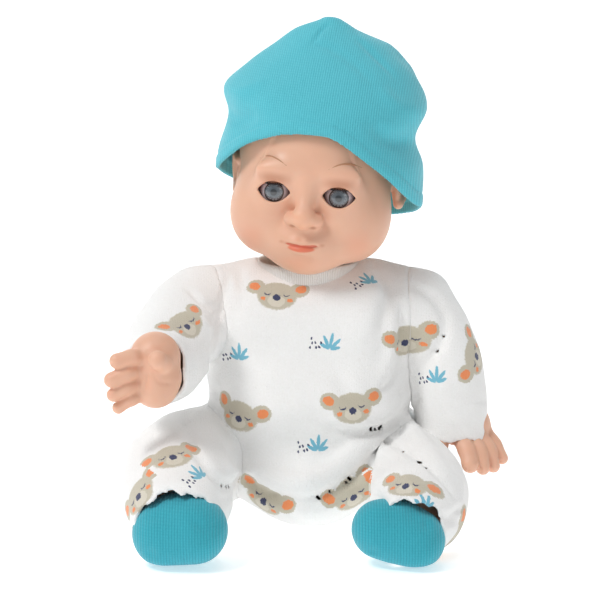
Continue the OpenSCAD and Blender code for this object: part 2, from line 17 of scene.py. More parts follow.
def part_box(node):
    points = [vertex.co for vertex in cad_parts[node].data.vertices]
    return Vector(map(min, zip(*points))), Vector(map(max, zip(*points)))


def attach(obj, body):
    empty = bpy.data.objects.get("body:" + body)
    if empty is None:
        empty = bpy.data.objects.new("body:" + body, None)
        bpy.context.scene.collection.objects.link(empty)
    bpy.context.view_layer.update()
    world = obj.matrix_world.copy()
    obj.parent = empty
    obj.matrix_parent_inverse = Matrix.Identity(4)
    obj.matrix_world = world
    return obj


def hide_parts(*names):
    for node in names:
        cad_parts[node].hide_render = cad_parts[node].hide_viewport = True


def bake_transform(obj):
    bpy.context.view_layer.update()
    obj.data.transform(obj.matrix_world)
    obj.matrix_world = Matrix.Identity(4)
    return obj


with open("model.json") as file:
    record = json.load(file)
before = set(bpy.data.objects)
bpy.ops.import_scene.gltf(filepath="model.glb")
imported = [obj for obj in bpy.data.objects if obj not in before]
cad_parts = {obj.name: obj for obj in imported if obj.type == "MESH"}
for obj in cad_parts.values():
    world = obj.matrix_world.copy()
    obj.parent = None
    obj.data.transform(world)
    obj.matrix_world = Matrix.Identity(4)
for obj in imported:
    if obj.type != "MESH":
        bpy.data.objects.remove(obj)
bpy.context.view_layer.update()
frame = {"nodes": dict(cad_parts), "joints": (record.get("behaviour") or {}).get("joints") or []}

MM = 0.001
FAR = 60.0  # the distance that empty clay holds
SIDES = {"right": -1, "left": 1}  # the doll's own right arm is at -x

# ---------------------------------------------------------------- places, from the frame


def joint(name):
    return next(j for j in frame["joints"] if j["name"] == name)


def mm(point):
    return np.array(point, float) / MM


def metres(sizes):
    return tuple(size * MM for size in sizes)


def node_box(node):
    low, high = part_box(node)
    return mm(low), mm(high)


SHOULDER = {s: mm(joint("shoulder_" + s)["pos_m"]) for s in SIDES}
HIP = {s: mm(joint("hip_" + s)["pos_m"]) for s in SIDES}
NECK = mm(joint("neck_turn")["pos_m"])

EYE_AHEAD, EYE_BELOW = 33.5, 7.0  # the eyes' place from the middle of the head
eye_points = {s: mm(joint(f"eye_{s}_tilt")["pos_m"]) for s in SIDES}
head_x = Vector(joint("eye_left_tilt")["axis"]).normalized()
head_z = Vector(joint("hat_lift")["axis"]).normalized()
head_y = head_z.cross(head_x)
eye_middle = Vector((eye_points["right"] + eye_points["left"]) / 2)
head_middle = eye_middle + EYE_AHEAD * head_y + EYE_BELOW * head_z
HEAD = Matrix.Translation(head_middle * MM) @ Matrix((head_x, head_y, head_z)).transposed().to_4x4()
EYE_X = float(np.linalg.norm(eye_points["left"] - eye_points["right"]) / 2)
EYE_R = float((node_box("eyeball_left")[1] - node_box("eyeball_left")[0])[0] / 2)
SOCKET_R = EYE_R + 0.7


def linked(name, mesh):
    """A new object in the scene, from a mesh or a lamp's data."""
    o = bpy.data.objects.new(name, mesh)
    bpy.context.scene.collection.objects.link(o)
    return o


# ---------------------------------------------------------------- clay


def soft_min(a, b, soft):
    """The union of two distances, with a fillet as wide as soft."""
    share = np.clip(0.5 + 0.5 * (b - a) / soft, 0, 1)
    return b + (a - b) * share - soft * share * (1 - share)


def soft_max(a, b, soft):
    return -soft_min(-a, -b, soft)


def curve(points, steps=6):
    """A smooth line through the points."""
    p = np.array(points, float)
    if len(p) < 3:
        return p
    ends = np.vstack([2 * p[0] - p[1], p, 2 * p[-1] - p[-2]])
    t = np.linspace(0, 1, steps, endpoint=False)[:, None]
    line = []
    for a, b, c, d in zip(ends, ends[1:], ends[2:], ends[3:]):
        line.append(b + 0.5 * t * (c - a + t * (2 * a - 5 * b + 4 * c - d + t * (3 * (b - c) + d - a))))
    return np.vstack(line + [p[-1:]])


class Clay:
    """A solid as signed distances in millimetres on a grid, negative inside."""

    def __init__(self, low, high, step):
        self.low, self.step = np.array(low, np.float32), step
        size = np.ceil((np.array(high) - low) / step).astype(int) + 1
        self.lines = [(self.low[k] + step * np.arange(size[k])).astype(np.float32) for k in range(3)]
        self.d = np.full(size, FAR, np.float32)

    def like(self):
        other = Clay.__new__(Clay)
        other.low, other.step, other.lines = self.low, self.step, self.lines
        other.d = np.full(self.d.shape, FAR, np.float32)
        return other

    def room(self, low=None, high=None):
        """The part of the grid between two corners: its slices, and its x, y and z."""
        cut = []
        for k in range(3):
            start = 0 if low is None else int(np.searchsorted(self.lines[k], low[k]))
            stop = len(self.lines[k]) if high is None else int(np.searchsorted(self.lines[k], high[k]))
            cut.append(slice(start, max(stop, start + 1)))
        x, y, z = (self.lines[k][cut[k]] for k in range(3))
        return tuple(cut), (x[:, None, None], y[None, :, None], z[None, None, :])

    def ball(self, centre, radius, soft=3.0, stretch=(1, 1, 1), cut=False):
        c, s = np.array(centre, float), np.array(stretch, float)
        reach = s * (radius + soft / s.min()) + 2 * self.step
        room, grid = self.room(c - reach, c + reach)
        q = np.sqrt(sum(((g - c[k]) / s[k]) ** 2 for k, g in enumerate(grid)))
        self._join(room, ((q - radius) * s.min()).astype(np.float32), soft, cut)

    def limb(self, points, radii, soft=3.0, cut=False, steps=6):
        line = curve(points, steps)
        r = np.interp(np.linspace(0, 1, len(line)), np.linspace(0, 1, len(radii)), radii)
        reach = max(radii) + soft + 2 * self.step
        room, grid = self.room(line.min(0) - reach, line.max(0) + reach)
        self._join(room, line_distance(grid, line, r)[0], soft, cut)

    def _join(self, room, distance, soft, cut):
        was = self.d[room]
        self.d[room] = soft_max(was, -distance, soft) if cut else soft_min(was, distance, soft)

    def stroke(self, points, height, width, steps=6, fade=True):
        """A ridge along a line, or with a negative height a groove, fading out at its ends."""
        line = curve(points, steps)
        reach = 2.4 * width
        room, grid = self.room(line.min(0) - reach, line.max(0) + reach)
        distance, along = line_distance(grid, line, np.zeros(len(line)))
        lift = height * np.exp(-((distance / width) ** 2))
        if fade:
            lift = lift * np.sqrt(np.clip(np.sin(np.pi * np.clip(along, 0.02, 0.98)), 0, 1))
        self.d[room] -= lift.astype(np.float32)

    def hollow(self, wall):
        """Leaves only a shell of the solid."""
        self.d = np.maximum(self.d, -(self.d + wall))

    def touch(self, start, direction):
        """The first point of the surface that a line from start meets."""
        d = np.array(direction, float)
        d /= np.linalg.norm(d)
        t = np.arange(0, 400, self.step / 2)
        p = np.array(start, float) + t[:, None] * d
        index = np.rint((p - self.low) / self.step).astype(int)
        inside = np.all((index >= 0) & (index < self.d.shape), axis=1)
        index = np.clip(index, 0, np.array(self.d.shape) - 1)
        hit = inside & (self.d[index[:, 0], index[:, 1], index[:, 2]] < 0)
        return p[np.argmax(hit)] if hit.any() else p[len(p) // 2]

    def on_front(self, *spots):
        """Points of the front surface, from their x and z."""
        return [self.touch((x, float(self.lines[1][0]), z), (0, 1, 0)) for x, z in spots]

    def on_back(self, *spots):
        return [self.touch((x, float(self.lines[1][-1]), z), (0, -1, 0)) for x, z in spots]


def line_distance(grid, line, radii):
    """Distance from a line of varying radius, and how far along the line the nearest point is."""
    x, y, z = grid
    best = along = None
    count = len(line) - 1
    for i in range(count):
        a, ab = line[i], line[i + 1] - line[i]
        t = ((x - a[0]) * ab[0] + (y - a[1]) * ab[1] + (z - a[2]) * ab[2]) / max(ab @ ab, 1e-9)
        t = np.clip(t, 0, 1).astype(np.float32)
        d = np.sqrt((x - a[0] - t * ab[0]) ** 2 + (y - a[1] - t * ab[1]) ** 2 + (z - a[2] - t * ab[2]) ** 2)
        d = d - (radii[i] + (radii[i + 1] - radii[i]) * t)
        if best is None:
            best, along = d, t / count
        else:
            along = np.where(d < best, (i + t) / count, along)
            best = np.minimum(best, d)
    return best.astype(np.float32), along


def to_mesh(name, clay, place=None, relax=3):
    """The clay's surface as a smooth mesh object, without loose crumbs."""
    grid = vdb.FloatGrid(FAR)
    grid.copyFromArray(clay.d)
    points, quads = grid.convertToQuads(isovalue=0.0)
    points, quads = points.astype(float), quads.astype(np.int64)
    points, quads = largest_part(points, quads)
    points = relaxed(points, quads, relax)
    points = (clay.low + points * clay.step) * MM
    a, b, c, d = (points[quads[:, k]] for k in range(4))
    volume = np.einsum("ij,ij->i", a, np.cross(b, c)).sum() + np.einsum("ij,ij->i", a, np.cross(c, d)).sum()
    if volume < 0:
        quads = quads[:, ::-1]
    mesh = bpy.data.meshes.new(name)
    mesh.vertices.add(len(points))
    mesh.vertices.foreach_set("co", points.astype(np.float32).ravel())
    mesh.loops.add(quads.size)
    mesh.loops.foreach_set("vertex_index", quads.astype(np.int32).ravel())
    mesh.polygons.add(len(quads))
    mesh.polygons.foreach_set("loop_start", np.arange(0, quads.size, 4, dtype=np.int32))
    mesh.polygons.foreach_set("use_smooth", np.ones(len(quads), bool))
    mesh.update(calc_edges=True)
    mesh.validate()
    o = linked(name, mesh)
    if place is not None:
        o.matrix_world = place
    return o


def largest_part(points, quads):
    """Keeps the connected parts that hold more than a fiftieth of the points."""
    label = np.arange(len(points))
    edges = np.vstack([quads[:, [k, (k + 1) % 4]] for k in range(4)])
    while True:
        low = np.minimum(label[edges[:, 0]], label[edges[:, 1]])
        new = label.copy()
        np.minimum.at(new, edges[:, 0], low)
        np.minimum.at(new, edges[:, 1], low)
        new = new[new]
        new = new[new]
        if (new == label).all():
            break
        label = new
    names, counts = np.unique(label, return_counts=True)
    keep = np.isin(label, names[counts > len(points) / 50])
    number = np.cumsum(keep) - 1
    return points[keep], number[quads[keep[quads[:, 0]]]]


def relaxed(points, quads, rounds):
    """Takes the grid's small steps out of a surface without shrinking it."""
    ends = np.vstack([quads[:, [k, (k + 1) % 4]] for k in range(4)])
    count = np.bincount(ends.ravel(), minlength=len(points))[:, None]
    for k in range(rounds * 2):
        mean = np.stack([
            np.bincount(ends[:, 0], points[ends[:, 1], i], len(points))
            + np.bincount(ends[:, 1], points[ends[:, 0], i], len(points)) for i in range(3)], 1)
        mean = mean / np.maximum(count, 1)
        points = points + (0.5 if k % 2 == 0 else -0.52) * (mean - points)
    return points


# ---------------------------------------------------------------- materials


def linear(hex_colour):
    """A screen colour as the linear red, green, blue and alpha that shaders use."""
    parts = [int(hex_colour[k:k + 2], 16) / 255 for k in (1, 3, 5)]
    return [c / 12.92 if c <= 0.04045 else ((c + 0.055) / 1.055) ** 2.4 for c in parts] + [1.0]


class Paint:
    """A node material, with short calls for the nodes that the finishes share."""

    def __init__(self, name, colour, roughness, **sockets):
        self.material = bpy.data.materials.new(name)
        self.material.use_nodes = True
        self.tree = self.material.node_tree
        self.shader = self.tree.nodes["Principled BSDF"]
        self.shader.inputs["Base Color"].default_value = linear(colour)
        self.shader.inputs["Roughness"].default_value = roughness
        for socket, value in sockets.items():
            self.shader.inputs[socket.replace("_", " ")].default_value = value
        self.coordinates = self.node("ShaderNodeTexCoord").outputs["Object"]

    def node(self, kind, inputs=(), **settings):
        n = self.tree.nodes.new("ShaderNode" + kind.removeprefix("ShaderNode"))
        for key, value in settings.items():
            setattr(n, key, value)
        for key, value in (inputs.items() if isinstance(inputs, dict) else enumerate(inputs)):
            if value is None:
                continue
            if isinstance(value, bpy.types.NodeSocket):
                self.tree.links.new(value, n.inputs[key])
            else:
                n.inputs[key].default_value = value
        return n

    def math(self, operation, a, b=None, c=None, clamp=False):
        return self.node("Math", (a, b, c), operation=operation, use_clamp=clamp).outputs[0]

    def place(self, vector, location=(0, 0, 0), turn=(0, 0, 0), scale=(1, 1, 1)):
        """Coordinates whose origin, direction and unit are those given."""
        inputs = {"Vector": vector, "Location": location, "Rotation": turn, "Scale": scale}
        return self.node("Mapping", inputs, vector_type="TEXTURE").outputs[0]

    def spot(self, vector, location, radii, turn=0.0, edge=8.0):
        """1 inside an ellipse or ellipsoid and 0 outside, with a softer edge the smaller edge is."""
        radii = tuple(radii) + (1.0,) * (3 - len(radii))
        location = tuple(location) + (0.0,) * (3 - len(location))
        local = self.place(vector, location, (0, 0, math.radians(turn)), radii)
        length = self.node("VectorMath", (local,), operation="LENGTH").outputs["Value"]
        return self.math("MULTIPLY_ADD", self.math("SUBTRACT", 1.0, length), edge, 0.5, clamp=True)

    def noise(self, vector, size, detail=3.0, roughness=0.5):
        """Even noise, whose features are about size metres apart."""
        inputs = {"Vector": vector, "Scale": 1 / size, "Detail": detail, "Roughness": roughness}
        return self.node("TexNoise", inputs).outputs["Fac"]

    def mix(self, factor, a, b):
        n = self.node("Mix", data_type="RGBA")
        for key, value in ((0, factor), (6, a), (7, b)):
            if isinstance(value, bpy.types.NodeSocket):
                self.tree.links.new(value, n.inputs[key])
            else:
                n.inputs[key].default_value = linear(value) if isinstance(value, str) else value
        return n.outputs[2]

    def colour(self, socket):
        self.tree.links.new(socket, self.shader.inputs["Base Color"])

    def bump(self, height, distance, strength=1.0):
        """Adds relief of a real height, over any relief that the material has already."""
        n = self.node("Bump", {"Height": height, "Distance": distance, "Strength": strength})
        normal = self.shader.inputs["Normal"]
        if normal.is_linked:
            self.tree.links.new(normal.links[0].from_socket, n.inputs["Normal"])
        self.tree.links.new(n.outputs[0], normal)

    def rough(self, factor, low, high):
        span = self.node("MapRange", {"Value": factor, "To Min": low, "To Max": high}).outputs[0]
        self.tree.links.new(span, self.shader.inputs["Roughness"])


def plain(name, colour, roughness, mottle="#808080", size=0.004, relief=0.00004, **sockets):
    """A moulded or metal finish: its colour drifts slightly, and its surface is finely uneven."""
    p = Paint(name, colour, roughness, **sockets)
    drift = p.noise(p.coordinates, size)
    p.colour(p.mix(p.math("MULTIPLY", drift, 0.25), colour, mottle))
    p.rough(drift, max(roughness - 0.08, 0.02), min(roughness + 0.1, 1))
    p.bump(p.noise(p.coordinates, size / 12), relief)
    return p.material


def wales(p, vector, pitch, wander=0.15, row=0.5):
    """The height of a knit: columns of small stitches, pitch metres apart along x."""
    drift = p.noise(vector, pitch * 22, 2.0)
    parts = p.node("SeparateXYZ", (vector,)).outputs
    across = p.math("MULTIPLY_ADD", parts[0], 2 * math.pi / pitch, p.math("MULTIPLY", drift, wander * 14))
    column = p.math("ABSOLUTE", p.math("SINE", across))
    rows = p.math("SINE", p.math("MULTIPLY", parts[2], 2 * math.pi / (pitch * row)))
    return p.math("MULTIPLY", column, p.math("MULTIPLY_ADD", rows, 0.12, 0.88))


def knit(name, colour, shade, pitch, fuzz):
    """Fine jersey or rib: columns, a little darker between them as painted shade, with loose fibres."""
    p = Paint(name, colour, 0.85, Sheen_Weight=0.25, Sheen_Roughness=0.5, Specular_IOR_Level=0.2)
    height = wales(p, p.coordinates, pitch)
    grain = p.noise(p.coordinates, 0.0007, 2.0)
    # Painted shade: the tone falls to the shade colour in the low places between the columns, and the grain
    # adds random tone.
    tone = p.math("MULTIPLY_ADD", height, 0.6, p.math("MULTIPLY", grain, fuzz), clamp=True)
    p.colour(p.mix(tone, shade, colour))
    p.bump(height, 0.00016)
    p.bump(grain, 0.0001 * fuzz * 2)
    return p.material


def velour(name, printed=True):
    """White cut-pile velour. Its print is drawn from the "print" map, one unit to half a motif."""
    p = Paint(name, "#F7F5F0", 0.92, Sheen_Weight=0.35, Sheen_Roughness=0.6, Specular_IOR_Level=0.15)
    pile = p.noise(p.coordinates, 0.0009, 3.0, 0.7)
    height = wales(p, p.coordinates, 0.0016, 0.5)
    white = p.mix(p.math("MULTIPLY", pile, 0.5), "#FFFFFF", "#E9E6DF")
    p.colour(motifs(p, white) if printed else white)
    p.bump(height, 0.00008)
    p.bump(pile, 0.00045)
    return p.material


def motifs(p, ground):
    """The print: a sleepy round-eared animal's face around (0, 0), and a leaf sprig around (4, 0)."""
    at = p.node("UVMap", uv_map="print").outputs[0]
    frizz = p.node("TexNoise", {"Vector": p.coordinates, "Scale": 1100.0, "Detail": 2.0}).outputs["Color"]
    frizz = p.node("VectorMath", (frizz, (0.5, 0.5, 0.5)), operation="SUBTRACT").outputs[0]
    frizz = p.node("VectorMath", {0: frizz, "Scale": 0.10}, operation="SCALE").outputs[0]
    at = p.node("VectorMath", (at, frizz), operation="ADD").outputs[0]
    beige, orange, navy, blue = "#CBC3B0", "#F4935C", "#3C4163", "#79BFD6"
    layers = []
    for side in (-1, 1):
        layers.append((beige, (side * 0.68, 0.22), (0.31, 0.27), side * 20))
        layers.append((orange, (side * 0.72, 0.24), (0.18, 0.14), side * 30))
    layers += [(beige, (0, -0.05), (0.62, 0.47), 0), ("#DDD6C6", (0, -0.24), (0.27, 0.19), 0)]
    for side in (-1, 1):
        layers.append((navy, (side * 0.30, 0.01), (0.105, 0.09), 0))
        layers.append((beige, (side * 0.30, 0.045), (0.11, 0.08), 0))
        layers.append((orange, (side * 0.42, -0.19), (0.085, 0.065), 0))
    layers += [(navy, (0, -0.13), (0.12, 0.105), 0)]
    sprig = 4.0
    for turn, size in ((-64, 0.36), (-30, 0.46), (4, 0.52), (38, 0.46), (70, 0.34)):
        lean = math.radians(turn)
        middle = (sprig + 0.18 + size * math.sin(lean), -0.32 + size * math.cos(lean))
        layers.append((blue, middle, (0.10, size * 0.86), -turn))
    for k in range(7):
        seed = (sprig - 0.92 + 0.25 * (k % 3) + 0.08 * (k % 2), -0.35 + 0.26 * (k // 3) + 0.05 * (k % 3))
        layers.append((navy, seed, (0.055, 0.085), 20 * (k % 3)))
    result = ground
    for colour, middle, radii, turn in layers:
        edge = 5.0 if min(radii) < 0.12 else 9.0
        result = p.mix(p.spot(at, middle, radii, turn, edge=edge), result, colour)
    return result


def vinyl(name, blushes=(), lips=()):
    """Soft rotation-moulded skin. A blush or a spot of painted shade is a place, size, colour and strength,
    in the piece's own metres.

    A lip is the same with a turn, in degrees, before its colour, and has a firmer edge.
    """
    p = Paint(name, "#E5B499", 0.42, Subsurface_Weight=0.22, Subsurface_Scale=0.004, Specular_IOR_Level=0.45)
    p.shader.inputs["Subsurface Radius"].default_value = (1.0, 0.45, 0.3)
    drift = p.noise(p.coordinates, 0.018, 2.0)
    skin = p.mix(drift, "#E9BA9F", "#E1AE93")
    soft_spots = [(place, size, 0, colour, strength, 0.1) for place, size, colour, strength in blushes]
    for place, size, turn, colour, strength, full in soft_spots + [(*lip, 0.75) for lip in lips]:
        local = p.place(p.coordinates, place, (0, math.radians(turn), 0), size)
        far = p.node("VectorMath", (local,), operation="LENGTH").outputs["Value"]
        inputs = {"Value": far, "From Min": 1.0, "From Max": full}
        near = p.node("MapRange", inputs, interpolation_type="SMOOTHSTEP").outputs[0]
        skin = p.mix(p.math("MULTIPLY", near, strength), skin, colour)
    p.colour(skin)
    p.rough(drift, 0.36, 0.5)
    p.bump(p.noise(p.coordinates, 0.0006, 2.0), 0.00002)
    return p.material


# ---------------------------------------------------------------- the suit


def chain(start, offsets):
    return [start + np.array(o, float) for o in offsets]


# Each limb's middle line, from its joint, and the cloth's radius along it.
SLEEVE = {
    "right": ([[-8, -6, 1], [-13, -20, -4], [-18, -38, -10], [-22, -56, -14], [-25.5, -82, -12]],
              [18, 20, 21, 18.5, 11.6]),
    "left": ([[8, -2, 0], [15, -5, -13], [20, -8, -26], [24, -12, -42], [26, -17, -65]],
             [18, 19, 19.5, 18.5, 17]),
}
TROUSER = {
    "right": ([[-14, 0, 0], [-24, -24, 3], [-33, -52, 3], [-32, -78, 0], [-31, -107, -8.5]],
              [23, 26, 27.5, 26, 16.4]),
    "left": ([[14, 0, 0], [19, -24, -3], [24, -52, -4], [22, -78, -5], [13, -107, -10]],
             [23, 23, 23, 22.5, 15.2]),
}
# Bars across the body that the cloth lies over: y, z, half length and radius.
BODY_BARS = ((-27, 58, 20, 26), (6, 62, 20, 26), (-14, 84, 22, 28), (-21, 99, 22, 21), (0, 99, 22, 21),
             (-7, 104, 42, 17))
CLOTH = 1.9  # the velour with its pile
TAPE = 1.3  # the closure strip's rise over the cloth
FOLD_DEPTH = 1.35  # deepens every fold alike
COLLAR_IN = 8.0  # how far the neck's edge lies inside the CAD collar
NECK_HOLE_LOW = 106  # the height from which the suit is open for the neck
TUCK = 3.0  # how far the body's cloth runs on under a limb's, where they are sewn
FLOOR = 0.5  # the cloth rests this far over the ground


def suit_clay():
    """The whole suit's outer shape: the body, and each limb melted into it, on one grid."""
    body = Clay((-100, -125, -4), (104, 40, 128), 1.0)
    body.ball((0, -8, 47), 42, 6, (1.12, 1.02, 0.98))
    for y, z, half, radius in BODY_BARS:
        body.limb([(-half, y, z), (half, y, z)], [radius, radius], 14)
    body.ball((0, -6, 20), 20, 10, (2.1, 1.6, 1.0))
    body.limb([(-22, -44, 24), (0, -52, 18), (22, -46, 24)], [15, 17, 15], 10)
    limbs = {}
    for side in SIDES:
        for kind, table, joints in (("sleeve", SLEEVE, SHOULDER), ("trouser", TROUSER, HIP)):
            limb = body.like()
            offsets, radii = table[side]
            limb.limb(chain(joints[side], offsets), radii, 1)
            if (kind, side) == ("sleeve", "right"):
                low_side = [*offsets[:3], np.array(offsets[3]) - (0, 0, 4), np.array(offsets[4]) - (0, 0, 9)]
                limb.limb(chain(joints[side], low_side), radii, 4)
            limbs[kind, side] = limb
    return body, limbs


def rest_on_floor(clay):
    _, (_, _, z) = clay.room()
    clay.d = soft_max(clay.d, FLOOR - z, 3.0)


def folds(whole):
    """Every fold of the suit, as one layer of relief: grooves are negative. Front folds are x and z."""
    layer = whole.like()
    layer.d[:] = 0
    front, back = whole.on_front, whole.on_back
    grooves = [
        (front((-74, 54), (-66, 57), (-56, 60), (-44, 64)), 3.0, 2.4),
        (front((-57, 55), (-51, 49), (-43, 39), (-36, 32), (-28, 25), (-21, 19)), 3.4, 2.6),
        (front((-40, 30), (-24, 21), (-5, 18), (13, 23), (31, 34), (44, 39)), 3.2, 3.0),
        (front((54, 58), (44, 52), (36, 49), (24, 48), (10, 50)), 3.4, 2.4),
        (front((28, 35), (38, 42), (49, 44), (58, 40), (66, 31)), 2.8, 2.0),
        (front((8, 21), (21, 27), (35, 30), (46, 31), (58, 26), (70, 16)), 2.6, 2.2),
        (front((32, 122), (39, 113), (38, 106), (34, 96)), 2.6, 3.6),
        (front((45, 106), (45, 92), (45, 82), (41, 72), (34, 66)), 2.2, 1.6),
        (front((52, 114), (62, 107), (67, 98), (64, 87), (57, 77), (45, 64)), 3.0, 2.6),
        (front((-39, 118), (-42, 106), (-44, 96), (-46, 84), (-49, 74)), 2.6, 2.2),
        (front((-58, 116), (-50, 110), (-43, 106)), 2.6, 2.2),
        (front((-34, 122), (-32, 114), (-34, 104)), 1.6, 2.6),
        (front((12, 78), (20, 66), (33, 58)), 1.2, 4.0),
        (front((-30, 76), (-20, 68), (-4, 66)), 0.8, 4.2),
        (front((-72, 34), (-58, 38), (-48, 32)), 1.6, 2.6),
        (front((-60, 26), (-50, 24), (-40, 14)), 1.8, 2.4),
        (front((-80, 24), (-72, 34), (-64, 36)), 1.4, 2.4),
        (front((74, 32), (66, 22), (60, 20)), 1.4, 2.4),
        (front((-10, 14), (-5, 8), (0, 3)), 1.6, 2.2),
        (front((70, 62), (78, 58), (88, 58)), 1.0, 3.0),
        (back((-20, 100), (-14, 84), (-18, 66)), 1.4, 3.6),
        (back((22, 98), (16, 80), (20, 60)), 1.4, 3.6),
        (back((-30, 50), (-10, 44), (12, 46), (32, 40)), 2.0, 3.6),
        (back((-34, 28), (-12, 24), (14, 26), (34, 20)), 1.6, 3.2),
    ]
    ridges = [
        (front((-50, 55), (-38, 39), (-24, 30), (-5, 27), (12, 32), (31, 43), (48, 47), (60, 42), (71, 32)),
         3.6, 4.2),
        (front((-66, 61), (-54, 64), (-42, 68)), 1.6, 3.4),
        (front((48, 60), (38, 55), (24, 54), (10, 56)), 1.8, 3.6),
        (front((40, 104), (40, 92), (39, 80), (34, 72)), 1.8, 3.2),
        (front((-60, 108), (-50, 103), (-46, 98)), 1.6, 3.0),
        (front((34, 36), (46, 38), (57, 34)), 1.6, 3.0),
    ]
    for line, height, width in grooves:
        layer.stroke(line, -FOLD_DEPTH * height, width)
    for line, height, width in ridges:
        layer.stroke(line, FOLD_DEPTH * height, width)
    return layer.d


def ripple(clay, seed, length, height):
    """Gentle unevenness of a soft cloth: a few crossed waves about length millimetres long."""
    rng = np.random.default_rng(seed)
    _, (x, y, z) = clay.room()
    total = 0
    for _ in range(6):
        k = rng.normal(size=3)
        k *= 2 * math.pi / (length * rng.uniform(0.7, 1.5)) / np.linalg.norm(k)
        total = total + np.sin(k[0] * x + k[1] * y + k[2] * z + rng.uniform(0, 6.28))
    return (height * total / 2.4).astype(np.float32)


def suit():
    body, limbs = suit_clay()
    whole = body.like()
    whole.d = body.d.copy()
    for (kind, _), limb in limbs.items():
        whole.d = soft_min(whole.d, limb.d, 7.0 if kind == "sleeve" else 6.0)
    relief = folds(whole) + ripple(whole, 4, 26, 0.35)
    rest_on_floor(whole)
    pieces = {}
    edge = {key: body.d - limb.d for key, limb in limbs.items()}  # positive on the limb's side of its seam
    trunk = body.like()
    trunk.d = whole.d + relief
    for key in limbs:
        trunk.d = trunk.d + 0.7 * np.clip(1 + edge[key] / 0.7, 0, 1)
    trunk.d = np.maximum(trunk.d, -(whole.d + relief + CLOTH))
    for key in limbs:
        trunk.d = np.maximum(trunk.d, edge[key] - TUCK)
    collar_high = node_box("suit_collar")[1]
    _, (x, y, z) = trunk.room()
    hole = np.sqrt(x ** 2 + (y - NECK[1]) ** 2) - (float(collar_high[0]) - COLLAR_IN)
    trunk.d = soft_max(trunk.d, -np.maximum(hole, NECK_HOLE_LOW - z), 1.0)
    pieces["suit_front_and_back"] = (trunk, ("suit_body",), None)
    for (kind, side), limb in limbs.items():
        piece = body.like()
        outer = soft_min(body.d, limb.d, 7.0 if kind == "sleeve" else 6.0) + relief
        piece.d = np.maximum(outer, -(outer + CLOTH))
        piece.d = np.maximum(piece.d, -edge[kind, side])
        _, (x, y, z) = piece.room()
        if kind == "trouser":
            piece.d = soft_max(piece.d, FLOOR - z, 1.5)
        piece.d = np.maximum(piece.d, cuff(kind, side, x, y, z))
        pieces[f"{kind}_cloth_{side}"] = (piece, (f"{kind}_{side}",), (kind, side))
    return whole, relief, pieces


def cuff(kind, side, x, y, z):
    """Positive past the open end of a sleeve or trouser leg."""
    if kind == "sleeve" and side == "right":
        return (SHOULDER[side][1] - 76) - y + 1.2 * np.sin(0.35 * z) + 0.8 * np.sin(0.3 * x)
    if kind == "sleeve":
        return (SHOULDER[side][2] - 62) - z + 1.0 * np.sin(0.35 * x)
    wave = 1.2 * np.sin(0.42 * x + 0.1 * z) + 0.7 * np.sin(0.9 * x)
    return (HIP[side][1] - 104) - y + 0.1 * (20 - z) + wave


# Where the print's motifs sit on the front, as x, z and lean, in millimetres and degrees.
ANIMALS = [(-15, 113, -6), (47, 89, 8), (21, 61, 4), (-33, 56, -12), (-58, 104, 14), (45, 37, -8),
           (-63, 49, 35), (-78, 33, 70), (-21, 17, -30), (21, 20, 25), (-43, 124, 20), (67, 8, 60),
           (81, 80, 60)]
SPRIGS = [(9, 90, -8), (-35, 84, 4), (3, 42, 0), (28, 118, 10), (61, 71, 6), (-51, 42, 20), (-73, 27, 60),
          (51, 31, 8), (-86, 96, 40)]
ANIMAL_HALF, SPRIG_HALF, SPRIG_AT = 15.5, 8.5, 4.0


def print_anchors(whole):
    """Each motif's middle on the cloth, its directions there, its half size and its place in the map."""
    anchors = []
    low, high = float(whole.lines[1][0]), float(whole.lines[1][-1])
    spots = [(*spot, -1, False) for spot in ANIMALS] + [(*spot, -1, True) for spot in SPRIGS]
    for row in range(6):
        for column in range(-3, 4):
            x, z = column * 27 + (row % 2) * 13, 10 + row * 21
            spots.append((x, z, 25 * math.sin(3 * row + 2 * column), 1, (row + column) % 2 == 0))
    gradient = np.gradient(whole.d, whole.step)
    for x, z, lean, side, is_sprig in spots:
        p = whole.touch((x, low if side < 0 else high, z), (0, -side, 0))
        i = np.clip(np.rint((p - whole.low) / whole.step).astype(int), 0, np.array(whole.d.shape) - 1)
        if abs(whole.d[tuple(i)]) > 2:
            continue
        normal = Vector([float(g[tuple(i)]) for g in gradient]).normalized()
        up = Vector((0, 0, 1)) - normal * normal.z
        up = (up.normalized() if up.length > 0.2 else Vector((0, -side, 0)))
        across = up.cross(normal).normalized()
        up = normal.cross(across)
        turn = math.radians(lean)
        u = across * math.cos(turn) + up * math.sin(turn)
        v = up * math.cos(turn) - across * math.sin(turn)
        anchors.append((p, normal, u, v, *((SPRIG_HALF, SPRIG_AT) if is_sprig else (ANIMAL_HALF, 0.0))))
    return anchors


